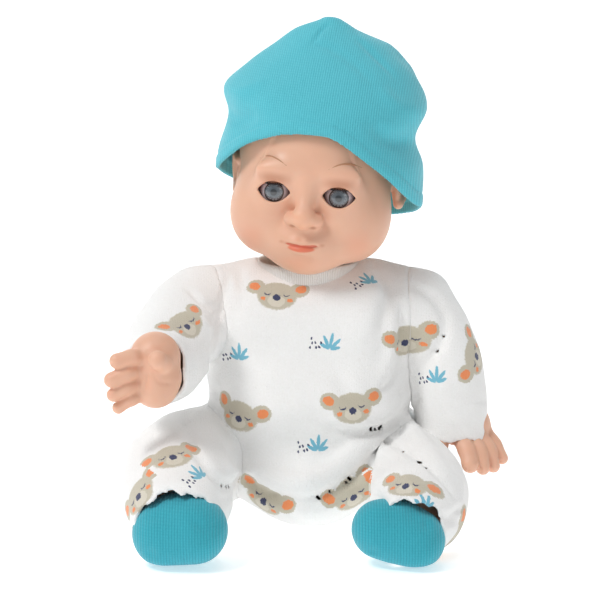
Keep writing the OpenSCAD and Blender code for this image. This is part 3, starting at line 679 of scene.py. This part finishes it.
def print_cloth(o, anchors):
    """Gives each face the map of its nearest motif."""
    mesh = o.data
    count = len(mesh.polygons)
    middle = np.zeros(count * 3)
    mesh.polygons.foreach_get("center", middle)
    middle = middle.reshape(-1, 3) / MM
    normals = np.zeros(count * 3)
    mesh.polygons.foreach_get("normal", normals)
    normals = normals.reshape(-1, 3)
    nearest, best = np.zeros(count, int), np.full(count, 1e9)
    for k, (p, normal, _, _, half, _) in enumerate(anchors):
        away = np.linalg.norm(middle - p, axis=1) / half + 4 * ((normals @ np.array(normal)) < 0.05)
        closer = away < best
        nearest[closer], best[closer] = k, away[closer]
    corners = np.zeros(len(mesh.loops), np.int32)
    mesh.loops.foreach_get("vertex_index", corners)
    points = np.zeros(len(mesh.vertices) * 3)
    mesh.vertices.foreach_get("co", points)
    points = points.reshape(-1, 3)[corners] / MM
    owner = np.repeat(nearest, 4)
    far = np.repeat(best > 1.6, 4)
    p, u, v = (np.array([np.array(a[k]) for a in anchors])[owner] for k in (0, 2, 3))
    half, shift = (np.array([a[k] for a in anchors])[owner] for k in (4, 5))
    across, up = (np.einsum("ij,ij->i", points - p, way) / half for way in (u, v))
    uv = np.stack([across + shift, up], 1)
    uv[far] = (9, 9)
    mesh.uv_layers.new(name="print").data.foreach_set("uv", uv.astype(np.float32).ravel())


def ring_clay(clay, centre, radius, tube, tall):
    """A flat band round a vertical axis: tube is its half thickness and tall its half height."""
    _, (x, y, z) = clay.room()
    away = np.sqrt((x - centre[0]) ** 2 + (y - centre[1]) ** 2) - radius
    lift = z - centre[2]
    q = np.sqrt((away / tube) ** 2 + (lift / tall) ** 2)
    clay.d = np.minimum(clay.d, ((q - 1) * min(tube, tall)).astype(np.float32))


def build_suit():
    cloth = velour("velour_print")
    whole, relief, pieces = suit()
    anchors = print_anchors(whole)
    for name, (clay, nodes, limb) in pieces.items():
        o = to_mesh(name, clay)
        print_cloth(o, anchors)
        o.data.materials.append(cloth)
        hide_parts(*nodes)
        if limb is None:
            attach(o, "torso")
            continue
        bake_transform(o)
    return whole, relief


def build_neckband():
    low, high = node_box("suit_collar")
    clay = Clay((-44, -50, 104), (44, 34, 134), 0.7)
    middle = (0, NECK[1], (low[2] + high[2]) / 2 + 0.3)
    ring_clay(clay, middle, high[0] - COLLAR_IN, 2.2, 5.4)
    o = to_mesh("neckband", clay)
    p = Paint("neck_rib", "#F7F5F1", 0.9, Sheen_Weight=0.3, Specular_IOR_Level=0.15)
    parts = p.node("SeparateXYZ", (p.coordinates,)).outputs
    angle = p.math("ARCTAN2", p.math("SUBTRACT", parts[1], float(NECK[1] * MM)), parts[0])
    ribs = p.math("ABSOLUTE", p.math("SINE", p.math("MULTIPLY", angle, 90.0)))
    # Painted shade: the white is a little darker between the ribs.
    p.colour(p.mix(ribs, "#E8E5DE", "#FBFAF7"))
    p.bump(ribs, 0.0003)
    p.bump(p.noise(p.coordinates, 0.0008), 0.0002)
    o.data.materials.append(p.material)
    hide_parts("suit_collar")
    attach(o, "torso")


def build_closure(whole, relief):
    """The hook-and-loop strip down the back, lying on the cloth."""
    low, high = node_box("back_closure")
    clay = whole.like()
    outer = whole.d + relief
    _, (x, y, z) = clay.room()
    side = np.maximum(np.maximum(low[0] - x, x - high[0]), np.maximum(low[2] - z, z - high[2] + 2))
    clay.d = np.maximum(np.maximum(outer - TAPE, -(outer - 0.1)), side)
    clay.d = np.maximum(clay.d, -y)
    o = to_mesh("hook_and_loop_strip", clay)
    p = Paint("hook_and_loop", "#EFEDE8", 0.95, Sheen_Weight=0.4)
    loops = p.noise(p.coordinates, 0.0007, 4.0, 0.8)
    # Random tone and painted shade: the pile is darker where its bump lies lower.
    p.colour(p.mix(loops, "#D9D6CE", "#FBFAF7"))
    p.bump(loops, 0.0006)
    o.data.materials.append(p.material)
    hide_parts("back_closure")
    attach(o, "torso")


# ---------------------------------------------------------------- the head

NECK_R, NECK_WALL = 13.6, 2.6
HEAD_WALL = 3.0


def build_head():
    clay = Clay((-50, -56, -54), (50, 50, 58), 0.64)
    clay.ball((0, 4, 12), 39.5, 1)
    clay.ball((0, -8, 15), 34, 12)
    clay.ball((0, -5, -22), 27, 12)
    for s in (-1, 1):
        clay.ball((s * 16, -18, -17), 23, 10)
        clay.ball((s * 21, -24, -24), 13, 9)
        clay.ball((s * 9, -31, -31), 10, 8)
    clay.ball((0, -30, -36), 10.5, 9, (1.15, 1, 1))
    clay.ball((0, -36, 4), 8, 10, (1.6, 0.7, 1.2))
    for s in (-1, 1):
        clay.ball((s * EYE_X, -41.5, 3.5), 5, 7, (1.7, 0.7, 0.8))
        clay.ball((s * EYE_X, -EYE_AHEAD, -EYE_BELOW), SOCKET_R + 1.3, 5.5)
        ear(clay, s)
    nose_and_mouth(clay)
    clay.hollow(HEAD_WALL)
    for s in (-1, 1):
        shell = clay.like()
        shell.ball((s * EYE_X, -EYE_AHEAD, -EYE_BELOW), SOCKET_R + 1.6, 1)
        clay.d = np.minimum(clay.d, np.maximum(shell.d, shell_front(shell)))
        clay.ball((s * EYE_X, -EYE_AHEAD, -EYE_BELOW), SOCKET_R, 0.3, cut=True)
        eye_opening(clay, s)
    neck_high = node_box("neck_flange")[1]
    neck_foot = np.array(HEAD.inverted() @ Vector((0, NECK[1] * MM, neck_high[2] * MM))) / MM
    clay.limb([neck_foot - (0, 0, 4), (0, 0, -30)], [NECK_R, NECK_R], 4)
    clay.limb([neck_foot - (0, 0, 8), (0, 0, -26)], [NECK_R - NECK_WALL, NECK_R - NECK_WALL], 1, cut=True)
    _, (x, y, z) = clay.room()
    height = HEAD[2][0] * x + HEAD[2][1] * y + HEAD[2][2] * z + HEAD[2][3] / MM
    clay.d = np.maximum(clay.d, (neck_high[2] + 0.3 - height).astype(np.float32))
    o = to_mesh("head_skin", clay, HEAD, relax=2)
    blushes = [
        ((-23, -28, -27), (13, 16, 12), "#EE8F72", 0.62),
        ((23, -28, -27), (13, 16, 12), "#F08B69", 0.62),
        ((0, -48, -18), (9, 9, 8), "#F6B893", 0.5),
        ((0, -40, -40), (13, 12, 7), "#F2A987", 0.4),
    ]
    for s in (-1, 1):
        # Painted shade: brown over the upper lid and in the crease above each eye.
        blushes.append(((s * EYE_X, -42, 0.2), (11, 9, 4.6), "#A9633F", 0.62))
        # Painted shadow: dark inside each nostril.
        blushes.append(((s * 5, -47, -21.8), (2.6, 4, 1.7), "#9A4B31", 0.75))
        # Painted shade: darker in each mouth corner.
        blushes.append(((s * 9.6, -42, -29.8), (2.2, 5, 1.4), "#C07456", 0.45))
    lips = [
        ((0, -45, -32.0), (7.2, 6, 1.9), 0, "#E07657", 0.9),
        ((-3.6, -45, -30.7), (4.6, 6, 0.9), 5, "#D4674D", 0.85),
        ((3.6, -45, -30.7), (4.6, 6, 0.9), -5, "#D4674D", 0.85),
    ]
    blushes, lips = ([(metres(place), metres(size), *rest) for place, size, *rest in paints]
                     for paints in (blushes, lips))
    o.data.materials.append(vinyl("vinyl_face", blushes, lips))
    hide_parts("head_shell")
    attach(o, "head")
    brow_paint(clay)
    return clay


def shell_front(clay):
    """Positive behind the front of the eyes, so that the lids are skin only where they show."""
    _, (_, y, _) = clay.room()
    return y + EYE_AHEAD - 2.0


def ear(clay, s):
    clay.ball((s * 39, 6, -6), 6.5, 3, (0.42, 0.85, 1.3))
    rim = [(s * 40.5, 2, 1), (s * 42.5, 7, 3), (s * 43, 11, -3), (s * 42, 10, -10), (s * 40.5, 4, -14)]
    clay.limb(rim, [1.6, 2.0, 2.0, 1.8, 2.2], 2)
    clay.ball((s * 43, 5.5, -5), 3.8, 2, (0.5, 0.7, 1.1), cut=True)


def eye_opening(clay, s):
    """Cuts the almond between the lids, through the front only."""
    half, above, below = 8.0, 4.9, 5.0
    middle = np.array((s * EYE_X, -EYE_AHEAD, -EYE_BELOW))
    room, (x, y, z) = clay.room(middle - (12, 22, 10), middle + (12, 0, 10))
    u, v = (x - middle[0]) / half, z - middle[2] - 0.6
    arch = np.clip(1 - np.abs(u) ** 2.3, -1, 1)
    outside = np.maximum(v - above * arch, -v - below * arch) * 0.8
    outside = np.maximum(outside, (np.abs(u) - 1) * half)
    outside = np.maximum(outside, y - (middle[1] - 1.5))
    clay.d[room] = soft_max(clay.d[room], -outside.astype(np.float32), 0.9)


def nose_and_mouth(clay):
    clay.limb([(0, -41.5, 0), (0, -44, -9), (0, -47, -16)], [3.0, 3.4, 4.2], 6)
    clay.ball((0, -47.0, -17.6), 4.9, 3, (1.1, 1, 0.95))
    for s in (-1, 1):
        clay.ball((s * 6.2, -43.6, -18.6), 3.3, 2.6, (1.05, 1.1, 0.95))
        clay.stroke([(s * 9.6, -42.0, -15.5), (s * 9.9, -42.2, -18.5), (s * 8.6, -42.6, -21.2)], -0.8, 1.1)
        clay.ball((s * 4.6, -47.2, -22.2), 1.5, 1.0, (1.3, 1.4, 0.7), cut=True)
    clay.ball((0, -39.5, -29.5), 8.2, 6, (1.25, 0.7, 0.8))
    upper = [(-8, -41.8, -29.7), (-3.6, -44.6, -29.2), (0, -45.0, -29.7), (3.6, -44.6, -29.2),
             (8, -41.8, -29.7)]
    clay.limb(upper, [0.9, 1.6, 1.5, 1.6, 0.9], 1.8)
    clay.limb([(-6, -42.8, -31.6), (0, -44.9, -32.6), (6, -42.8, -31.6)], [1.2, 2.1, 1.2], 1.8)
    between = [(-10.5, -41.2, -29.0), (-5, -45.2, -30.8), (0, -46.2, -30.9), (5, -45.2, -30.8),
               (10.5, -41.2, -29.0)]
    clay.stroke(between, -1.3, 0.8)
    for s in (-1, 1):
        clay.stroke([(s * 9.6, -41.8, -29.6), (s * 10.2, -41.5, -29.3)], -0.7, 1.3, fade=False)
    clay.stroke([(0, -46.0, -23.6), (0, -45.4, -27.4)], -0.7, 1.3)
    clay.stroke([(-6, -42.0, -36.6), (0, -43.5, -37.2), (6, -42.0, -36.6)], -0.9, 2.2)


def tube_mesh(name, lines, radius_at, sides=6):
    """One mesh of thin closed tubes along the lines, whose radius runs with the share of the length."""
    points, faces = [], []
    for line in lines:
        line = [Vector(p) for p in line]
        first = len(points)
        count = len(line)
        for i, p in enumerate(line):
            ahead = (line[min(i + 1, count - 1)] - line[max(i - 1, 0)]).normalized()
            side = ahead.orthogonal().normalized()
            other = ahead.cross(side)
            r = radius_at(i / (count - 1))
            for k in range(sides):
                turn = 2 * math.pi * k / sides
                points.append(p + r * (side * math.cos(turn) + other * math.sin(turn)))
        for i in range(count - 1):
            for k in range(sides):
                a, b = first + i * sides + k, first + i * sides + (k + 1) % sides
                faces.append((a, b, b + sides, a + sides))
        faces.append(tuple(first + k for k in reversed(range(sides))))
        faces.append(tuple(first + (count - 1) * sides + k for k in range(sides)))
    mesh = bpy.data.meshes.new(name)
    mesh.from_pydata([tuple(p) for p in points], [], faces)
    mesh.shade_smooth()
    return linked(name, mesh)


def brow_paint(clay):
    """Two painted brows: thin raised strokes that follow the forehead."""
    p = Paint("brow_paint", "#B5815F", 0.5)
    p.colour(p.mix(p.noise(p.coordinates, 0.0015), "#B17C5A", "#C79472"))

    def thickness(t):
        return 0.00034 * math.sin(math.pi * (0.08 + 0.86 * t)) + 0.00005

    for side, s in SIDES.items():
        spots = [(s * 10, 6.6), (s * 15, 9.2), (s * 20, 9.6), (s * 24.5, 7.6)]
        line = [Vector(q) for q in curve(clay.on_front(*spots), 8)]
        o = tube_mesh("brow_" + side, [[q * MM for q in line]], thickness)
        o.matrix_world = HEAD
        o.data.materials.append(p.material)
        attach(o, "head")


def globe(name, radius, rings=40, around=64, shape=lambda p: p):
    """A sphere about the y axis, with its pole at the front and its points moved by shape."""
    points, faces = [], []
    for i in range(rings + 1):
        polar = math.pi * i / rings
        for k in range(around):
            turn = 2 * math.pi * k / around
            p = Vector((math.sin(polar) * math.cos(turn), -math.cos(polar), math.sin(polar) * math.sin(turn)))
            points.append(shape(p * radius) * MM)
    for i in range(rings):
        for k in range(around):
            a, b = i * around + k, i * around + (k + 1) % around
            faces.append((a, b, b + around, a + around))
    mesh = bpy.data.meshes.new(name)
    mesh.from_pydata([tuple(p) for p in points], [], faces)
    merge(mesh, 1e-6)
    mesh.shade_smooth()
    return linked(name, mesh)


def merge(mesh, distance):
    b = bmesh.new()
    b.from_mesh(mesh)
    bmesh.ops.remove_doubles(b, verts=b.verts, dist=distance)
    bmesh.ops.recalc_face_normals(b, faces=b.faces)
    b.to_mesh(mesh)
    b.free()


def iris_paint():
    """A grey iris with pale rays and a dark rim, on a glossy white eye darkened towards its edge by painted
    shade.
    """
    p = Paint("eye_print", "#CFC8CC", 0.12, Coat_Weight=1.0, Coat_Roughness=0.03, Specular_IOR_Level=0.6)
    parts = p.node("SeparateXYZ", (p.coordinates,)).outputs
    flat = p.node("CombineXYZ", (parts[0], 0.0, parts[2])).outputs[0]
    away = p.node("VectorMath", (flat,), operation="LENGTH").outputs["Value"]
    angle = p.math("ARCTAN2", parts[2], parts[0])
    front = p.math("LESS_THAN", parts[1], 0.0)

    def within(radius, soft):
        inputs = {"Value": away, "From Min": radius + soft, "From Max": radius - soft}
        inside = p.node("MapRange", inputs, interpolation_type="SMOOTHSTEP").outputs[0]
        return p.math("MULTIPLY", inside, front)

    turns, reach = p.math("MULTIPLY", angle, 7.0), p.math("MULTIPLY", away, 420.0)
    rays = p.node("CombineXYZ", (turns, reach, 0.0)).outputs[0]
    inputs = {"Vector": rays, "Scale": 1.6, "Detail": 4.0, "Roughness": 0.7}
    streak = p.node("TexNoise", inputs).outputs["Fac"]
    streak = p.node("MapRange", {"Value": streak, "From Min": 0.42, "From Max": 0.66}).outputs[0]
    # Painted shade: the white turns mauve grey away from the iris, towards the lids.
    white = p.mix(within(0.0062, 0.0016), "#6E5C66", "#C9C0C6")
    iris = p.mix(streak, "#3C434A", "#A9B3BB")
    iris = p.mix(within(0.0030, 0.0010), iris, "#565F67")
    iris = p.mix(within(0.0041, 0.0005), "#23262A", iris)
    iris = p.mix(within(0.00165, 0.0004), iris, "#2E3338")
    p.colour(p.mix(within(0.0048, 0.00018), white, iris))
    return p.material


def build_eyes(iris):
    lid = Paint("lid_paint", "#E9AE8E", 0.4, Specular_IOR_Level=0.45)
    lid.colour(lid.mix(lid.noise(lid.coordinates, 0.004), "#E3A583", "#EDB495"))
    hair = Paint("lash_hair", "#2B1D1B", 0.45)
    hair.colour(hair.mix(hair.noise(hair.coordinates, 0.0006), "#1E1413", "#43302C"))
    turned = HEAD.to_3x3()
    for side in SIDES:
        place = Matrix.Translation(Vector(eye_points[side]) * MM) @ turned.to_4x4()

        def cornea(p):
            away = math.hypot(p.x, p.z)
            return p * (1 + 0.03 * max(0.0, 1 - (away / 5.2) ** 2)) if p.y < 0 else p

        o = globe("eye_" + side, EYE_R, shape=cornea)
        o.matrix_world = place
        o.data.materials.append(iris)
        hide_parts("eyeball_" + side)
        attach(o, "eye_" + side)
        skin_lid = frame["nodes"]["eyelid_" + side].data
        skin_lid.materials.clear()
        skin_lid.materials.append(lid.material)
        skin_lid.shade_smooth()
        lashes(side, place, hair.material)


def lashes(side, place, paint):
    """A dark strip along the moving lid's edge, with a fringe of short tapered hairs."""
    count, spread, high = 46, math.radians(40), math.radians(25)
    edge = EYE_R + 0.35

    def along_lid(turn):
        return Vector((math.sin(turn) * math.cos(high), -math.cos(turn) * math.cos(high), math.sin(high)))

    hairs = []
    for k in range(count):
        turn = spread * (2 * k / (count - 1) - 1)
        jitter = 0.12 * math.sin(k * 12.9) + 0.08 * math.sin(k * 4.7)
        root = along_lid(turn)
        line = []
        for i in range(5):
            t = i / 4
            bend = Vector((0.5 * t * math.sin(turn) + jitter * t, 0, -0.9 * t + 1.3 * t * t))
            line.append((root * (edge + 1.5 * t) + bend) * MM)
        hairs.append(line)
    strip = [along_lid(spread * (2 * k / 24 - 1) * 1.05) * edge * MM for k in range(25)]
    o = tube_mesh("lash_fringe_" + side, hairs + [strip], lambda t: 0.00022 * (1 - 0.6 * t))
    o.matrix_world = place
    o.data.materials.append(paint)
    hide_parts("lashes_" + side)
    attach(o, "eye_" + side)


# ---------------------------------------------------------------- the hat


# The hat's reach from the middle of the head, by height: to either side, to the front and to the back.
HAT_REACH = {
    "doll_right": [(-24, 49), (-12, 50), (5, 50.6), (24.5, 46), (38, 49.9), (50, 38.3), (59, 28), (68, 16.4),
                   (73, 4)],
    "doll_left": [(-24, 50), (-15, 51.5), (5.6, 50.9), (19.5, 45.9), (35, 50.1), (48, 44.4), (57, 35.8),
                  (64.5, 25), (69.5, 12), (73, 4)],
    "front": [(-24, 46), (8, 47), (20, 46.5), (30, 44), (40, 38), (50, 29), (60, 18), (68, 9), (73, 3)],
    "back": [(-24, 48), (-10, 50), (12, 50), (30, 46), (45, 37), (58, 23), (68, 10), (73, 3)],
}
HAT_TOP = 74.0
HAT_CLOTH, HAT_HEM = 1.9, 7.0


def hat_rim(x, y):
    """The height of the hat's edge: high over the brow, low at the nape, and pulled down over one ear."""
    return np.where(y < 0, -8.5 + 0.0149 * np.minimum(y, 0) ** 2, -8.5 - 0.35 * y) - 0.1 * x


def build_hat():
    clay = Clay((-60, -56, -34), (62, 60, 82), 0.8)
    _, (x, y, z) = clay.room()
    reach = {}
    for way, outline in HAT_REACH.items():
        line = curve(outline, 8)
        reach[way] = np.interp(z, line[:, 0], line[:, 1]).astype(np.float32)
    across = np.where(x < 0, reach["doll_right"], reach["doll_left"])
    deep = np.where(y < 0, reach["front"], reach["back"])
    q = np.sqrt((x / across) ** 2 + (y / deep) ** 2)
    clay.d = ((q - 1) * np.minimum(across, deep) * 0.85).astype(np.float32)
    clay.d = soft_max(clay.d, z - HAT_TOP, 3.0)
    clay.limb([(-7, 1, 66), (-1, 1, 69.5), (5, 1, 68.5), (11, 1, 64)], [3.5, 4, 4, 3.5], 4)
    clay.limb([(14, 6, 60), (25, 8, 56), (34, 8, 50)], [6, 8, 6], 6)
    front = clay.on_front
    for line, height, width in (
        (front((-44, 25), (-36, 24), (-26, 27)), -1.8, 3.6),
        (front((44, 20), (36, 22), (27, 28)), -2.2, 3.8),
        (front((-46, 37), (-36, 38), (-24, 44)), 1.0, 4.0),
        (front((47, 36), (38, 38), (28, 46)), 1.2, 4.0),
        (front((0, 72), (-3, 68), (-6, 62)), -1.8, 1.1),
        (front((-6, 62), (2, 61), (14, 56), (26, 46)), -0.9, 2.6),
        (front((14, 66), (22, 60), (34, 50)), -1.3, 2.0),
        (clay.on_back((-2, 66), (0, 56), (2, 46)), -1.6, 1.4),
        (clay.on_back((-44, 27), (-30, 22), (-12, 24)), -2.2, 3.8),
        (clay.on_back((46, 25), (30, 20), (14, 23)), -2.2, 3.8),
    ):
        clay.stroke(line, height, width)
    clay.d += ripple(clay, 9, 22, 0.25)
    rim = hat_rim(x, y) + 0.5 * np.sin(0.16 * x)
    above = z - rim
    past = above - HAT_HEM
    clay.d = clay.d - 0.45 / (1 + np.exp(past / 0.5)) + 0.45 * np.exp(-((past / 0.7) ** 2))
    clay.d = clay.d.astype(np.float32)
    clay.hollow(HAT_CLOTH)
    clay.d = soft_max(clay.d, (-above * 0.86).astype(np.float32), 1.2).astype(np.float32)
    o = to_mesh("jersey_hat", clay, HEAD)
    # The second colour is painted shade between the jersey's columns.
    o.data.materials.append(knit("hat_jersey", "#66CBD8", "#3DA7B9", 0.0022, 0.5))
    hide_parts("hat")
    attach(o, "hat")


# ---------------------------------------------------------------- hands and booties

ARM = {
    "right": [[-8, -4, 1], [-14, -22, -6], [-19, -40, -12], [-22, -58, -13], [-24, -75, -14]],
    "left": [[9, -2, -2], [16, -4, -15], [22, -8, -28], [29, -13, -43], [34, -19, -57]],
}
ARM_R = [14, 13.5, 12, 10, 8]
# Each digit from its knuckle to its tip, as places from the shoulder, and its radius.
DIGITS = {
    "right": [
        ([(-27, -82, -9), (-34, -87.5, -7.5), (-41, -90, -8.8)], 3.8),
        ([(-30, -83, -14.5), (-37, -88.5, -15), (-43.6, -90, -17.6)], 3.8),
        ([(-30, -83, -21), (-37, -88, -21.8), (-43, -89, -24.8)], 3.4),
        ([(-28, -82, -26), (-35, -86.5, -27.6), (-41, -87.5, -31.2)], 3.1),
        ([(-19, -80, -15), (-20.5, -87, -10.5), (-22.6, -92, -8)], 4.6),
    ],
    "left": [
        ([(27, -25, -60), (31, -33, -66), (32.5, -38, -72)], 4.4),
        ([(33, -24, -60), (37.5, -31, -67), (39.0, -35, -74.5)], 3.7),
        ([(37, -21, -59), (42.5, -27, -67), (44.5, -30, -75)], 3.5),
        ([(40, -17, -58), (46.0, -22, -66), (49.3, -25, -72.5)], 3.2),
        ([(21, -22, -60), (18, -30, -66), (17.6, -35, -73)], 4.3),
    ],
}
PALM = {
    "right": ([(-24.5, -78, -9.5), (-24.5, -79, -22.5)], 11.6),
    "left": ([(27, -18, -58), (35, -16, -58)], 9.6),
}


def build_hand(side, paint):
    start = SHOULDER[side]
    box_low, box_high = node_box("arm_" + side)
    clay = Clay(box_low - 6, box_high + 6, 0.75)
    clay.limb(chain(start, ARM[side]), ARM_R, 1)
    palm, palm_r = PALM[side]
    clay.limb(chain(start, palm), [palm_r, palm_r - 0.8], 5)
    if side == "right":
        clay.ball(start + (-18.5, -81, -19), 5.5, 4)
    for line, r in DIGITS[side]:
        points = chain(start, line)
        clay.limb(points, [r + 0.2, r - 0.35, r + 0.15, r - 0.3, r - 0.2], 1.3, steps=8)
    if side == "right":
        for crease in (((-27, -9), (-27.5, -17), (-28.5, -26)), ((-25, -13), (-22, -18.5), (-16, -20))):
            spots = [(start[0] + dx, start[2] + dz) for dx, dz in crease]
            clay.stroke(clay.on_front(*spots), -0.9, 0.9)
    o = to_mesh("arm_and_hand_" + side, clay)
    o.data.materials.append(paint)
    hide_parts("arm_" + side)
    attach(o, "arm_" + side)


# Each bootie's two ends, as places, and its radius.
BOOTIE = {
    "right": ((-65, -107, 15), (-53, -108, 17), 15.6),
    "left": ((33, -107, 17), (48, -108, 12.5), 13.6),
}
BOOTIE_CLOTH = 1.8
LEG_R = [16, 17, 15.5, 11, 8.5]


def build_leg(side, paint):
    """The vinyl leg inside the trousers, down to a foot inside the bootie."""
    low, high = node_box("leg_" + side)
    clay = Clay(low - 8, high + 8, 1.2)
    points = chain(HIP[side], TROUSER[side][0])
    toe, heel, _ = BOOTIE[side]
    foot = (np.array(toe) + np.array(heel)) / 2
    points[-1] = foot + (0, 6, 0)
    clay.limb(points, LEG_R, 1)
    clay.ball(foot, 9, 4, (1.3, 1.0, 1))
    hip_face = [HIP[side] * (0, 1, 1), HIP[side] + (SIDES[side] * 1.7, 0, 0)]
    clay.limb(hip_face, [30, 30], 1, cut=True)
    o = to_mesh("leg_and_foot_" + side, clay)
    o.data.materials.append(paint)
    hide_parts("leg_" + side)
    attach(o, "leg_" + side)


def build_bootie(side, paint):
    low, high = node_box("bootie_" + side)
    clay = Clay(low - 10, high + 8, 0.75)
    toe, heel, radius = BOOTIE[side]
    clay.limb([toe, heel], [radius, radius + 0.6], 1)
    middle = (np.array(toe) + np.array(heel)) / 2
    clay.limb([middle + (0, 4, 1), middle + (0, 26, 2)], [radius, radius - 2], 4)
    front = clay.on_front
    x = middle[0]
    for line, height, width in (
        (front((x - 20, 8), (x - 12, 10), (x - 4, 6)), -0.8, 2.4),
        (front((x + 6, 26), (x + 12, 22), (x + 20, 22)), -1.2, 2.2),
        (front((x - 18, 22), (x - 8, 26), (x + 2, 24)), -0.6, 3.0),
    ):
        clay.stroke(line, height, width)
    _, (_, gy, gz) = clay.room()
    clay.d = soft_max(clay.d, FLOOR - gz, 4.0)
    clay.d = np.maximum(clay.d, gy - high[1])
    clay.hollow(BOOTIE_CLOTH)
    o = to_mesh("knit_bootie_" + side, clay)
    o.data.materials.append(paint)
    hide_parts("bootie_" + side)
    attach(o, "leg_" + side)


# ---------------------------------------------------------------- the works inside


def finish_nodes(skin):
    """A worked-out finish for each CAD node that shows or hides inside."""
    shell = plain("torso_vinyl", "#E9B99B", 0.5, "#D8A283", 0.02)
    steel = plain("screw_steel", "#9A9DA0", 0.32, "#6D7074", 0.002, Metallic=1.0)
    board = plain("green_board", "#1F6B3E", 0.45, "#12452A", 0.003)
    black = plain("black_plastic", "#1B1C1E", 0.4, "#3A3B3E", 0.003)
    paper = plain("speaker_paper", "#2E2B29", 0.85, "#55504A", 0.0015, 0.0002)
    lead = plain("weight_metal", "#7C7F84", 0.5, "#55585C", 0.002, Metallic=0.8)
    wrap = plain("cell_wrap", "#2F5D8C", 0.35, "#1F3F61", 0.004)
    red = plain("red_button", "#C8322B", 0.35, "#A02520", 0.006)
    white = plain("white_plastic", "#EDEBE6", 0.4, "#CFCBC2", 0.008)
    finishes = {
        "torso_front": shell, "torso_back": shell, "torso_screws": steel, "circuit_board": board,
        "board_screws": steel, "sound_chip": black, "tact_switch": black, "speaker_frame": steel,
        "speaker_cone": paper, "speaker_magnet": lead, "battery_tray": black, "battery_cells": wrap,
        "battery_contacts": steel, "battery_door": shell, "door_screw": steel, "switch_body": black,
        "switch_knob": black, "belly_button": red, "button_spring": steel, "neck_flange": skin,
    }
    for side in SIDES:
        for name in ("shoulder_flange_", "hip_flange_", "leg_"):
            finishes[name + side] = skin
        for name in ("eye_case_", "eye_axle_"):
            finishes[name + side] = white
        finishes["eye_weight_" + side] = lead
    for name, material in finishes.items():
        data = frame["nodes"][name].data
        data.materials.clear()
        data.materials.append(material)


# ---------------------------------------------------------------- stage


def stage():
    mesh = bpy.data.meshes.new("floor")
    side, sweep, steps = 3.0, 0.5, 10
    rows = [(-side, 0.0), (0.9, 0.0)]
    for k in range(1, steps + 1):
        a = math.pi / 2 * k / steps
        rows.append((0.9 + sweep * math.sin(a), sweep - sweep * math.cos(a)))
    rows.append((0.9 + sweep, 3.0))
    points = [(x, y, z) for y, z in rows for x in (-side, side)]
    faces = [(2 * k, 2 * k + 1, 2 * k + 3, 2 * k + 2) for k in range(len(rows) - 1)]
    mesh.from_pydata(points, [], faces)
    mesh.shade_smooth()
    floor = linked("floor", mesh)
    p = Paint("studio_floor", "#FBFBFB", 0.6, Specular_IOR_Level=0.2, Emission_Strength=0.45)
    p.shader.inputs["Emission Color"].default_value = (1, 1, 1, 1)
    p.colour(p.mix(p.noise(p.coordinates, 0.2), "#FDFDFD", "#F6F7F8"))
    mesh.materials.append(p.material)

    def lamp(name, place, size, power, aim=(0, -0.02, 0.11)):
        light = bpy.data.lights.new(name, "AREA")
        light.shape, light.size, light.energy = "DISK", size, power
        o = linked(name, light)
        o.location = place
        o.rotation_euler = (Vector(aim) - Vector(place)).to_track_quat("-Z", "Y").to_euler()

    lamp("key", (-0.8, -0.55, 1.25), 0.45, 10.5)
    lamp("fill", (0.9, -1.1, 0.5), 0.9, 1.4)
    lamp("top", (0.1, -0.1, 1.5), 0.7, 2.6)
    world = bpy.data.worlds.new("studio")
    world.use_nodes = True
    world.node_tree.nodes["Background"].inputs["Color"].default_value = (0.98, 0.99, 1.0, 1)
    world.node_tree.nodes["Background"].inputs["Strength"].default_value = 0.34
    bpy.context.scene.world = world
    bpy.context.scene.view_settings.view_transform = "Standard"


def camera():
    """A long lens a metre away, a little above the doll."""
    distance, rise, target = 1.0, math.radians(11), Vector((-0.0045, 0, 0.103))
    data = bpy.data.cameras.new("camera")
    data.lens, data.sensor_width = 120.4, 36.0
    o = linked("camera", data)
    o.location = target + distance * Vector((0, -math.cos(rise), math.sin(rise)))
    o.rotation_euler = (target - o.location).to_track_quat("-Z", "Y").to_euler()
    bpy.context.scene.camera = o


camera()
stage()
skin = vinyl("vinyl_skin")
finish_nodes(skin)
whole_suit, suit_relief = build_suit()
build_neckband()
build_closure(whole_suit, suit_relief)
build_head()
build_eyes(iris_paint())
build_hat()
# The second colour is painted shade between the rib's columns.
bootie_knit = knit("bootie_rib", "#43B5C5", "#2B90A4", 0.0026, 0.5)
for side_name in SIDES:
    build_hand(side_name, skin)
    build_leg(side_name, skin)
    build_bootie(side_name, bootie_knit)
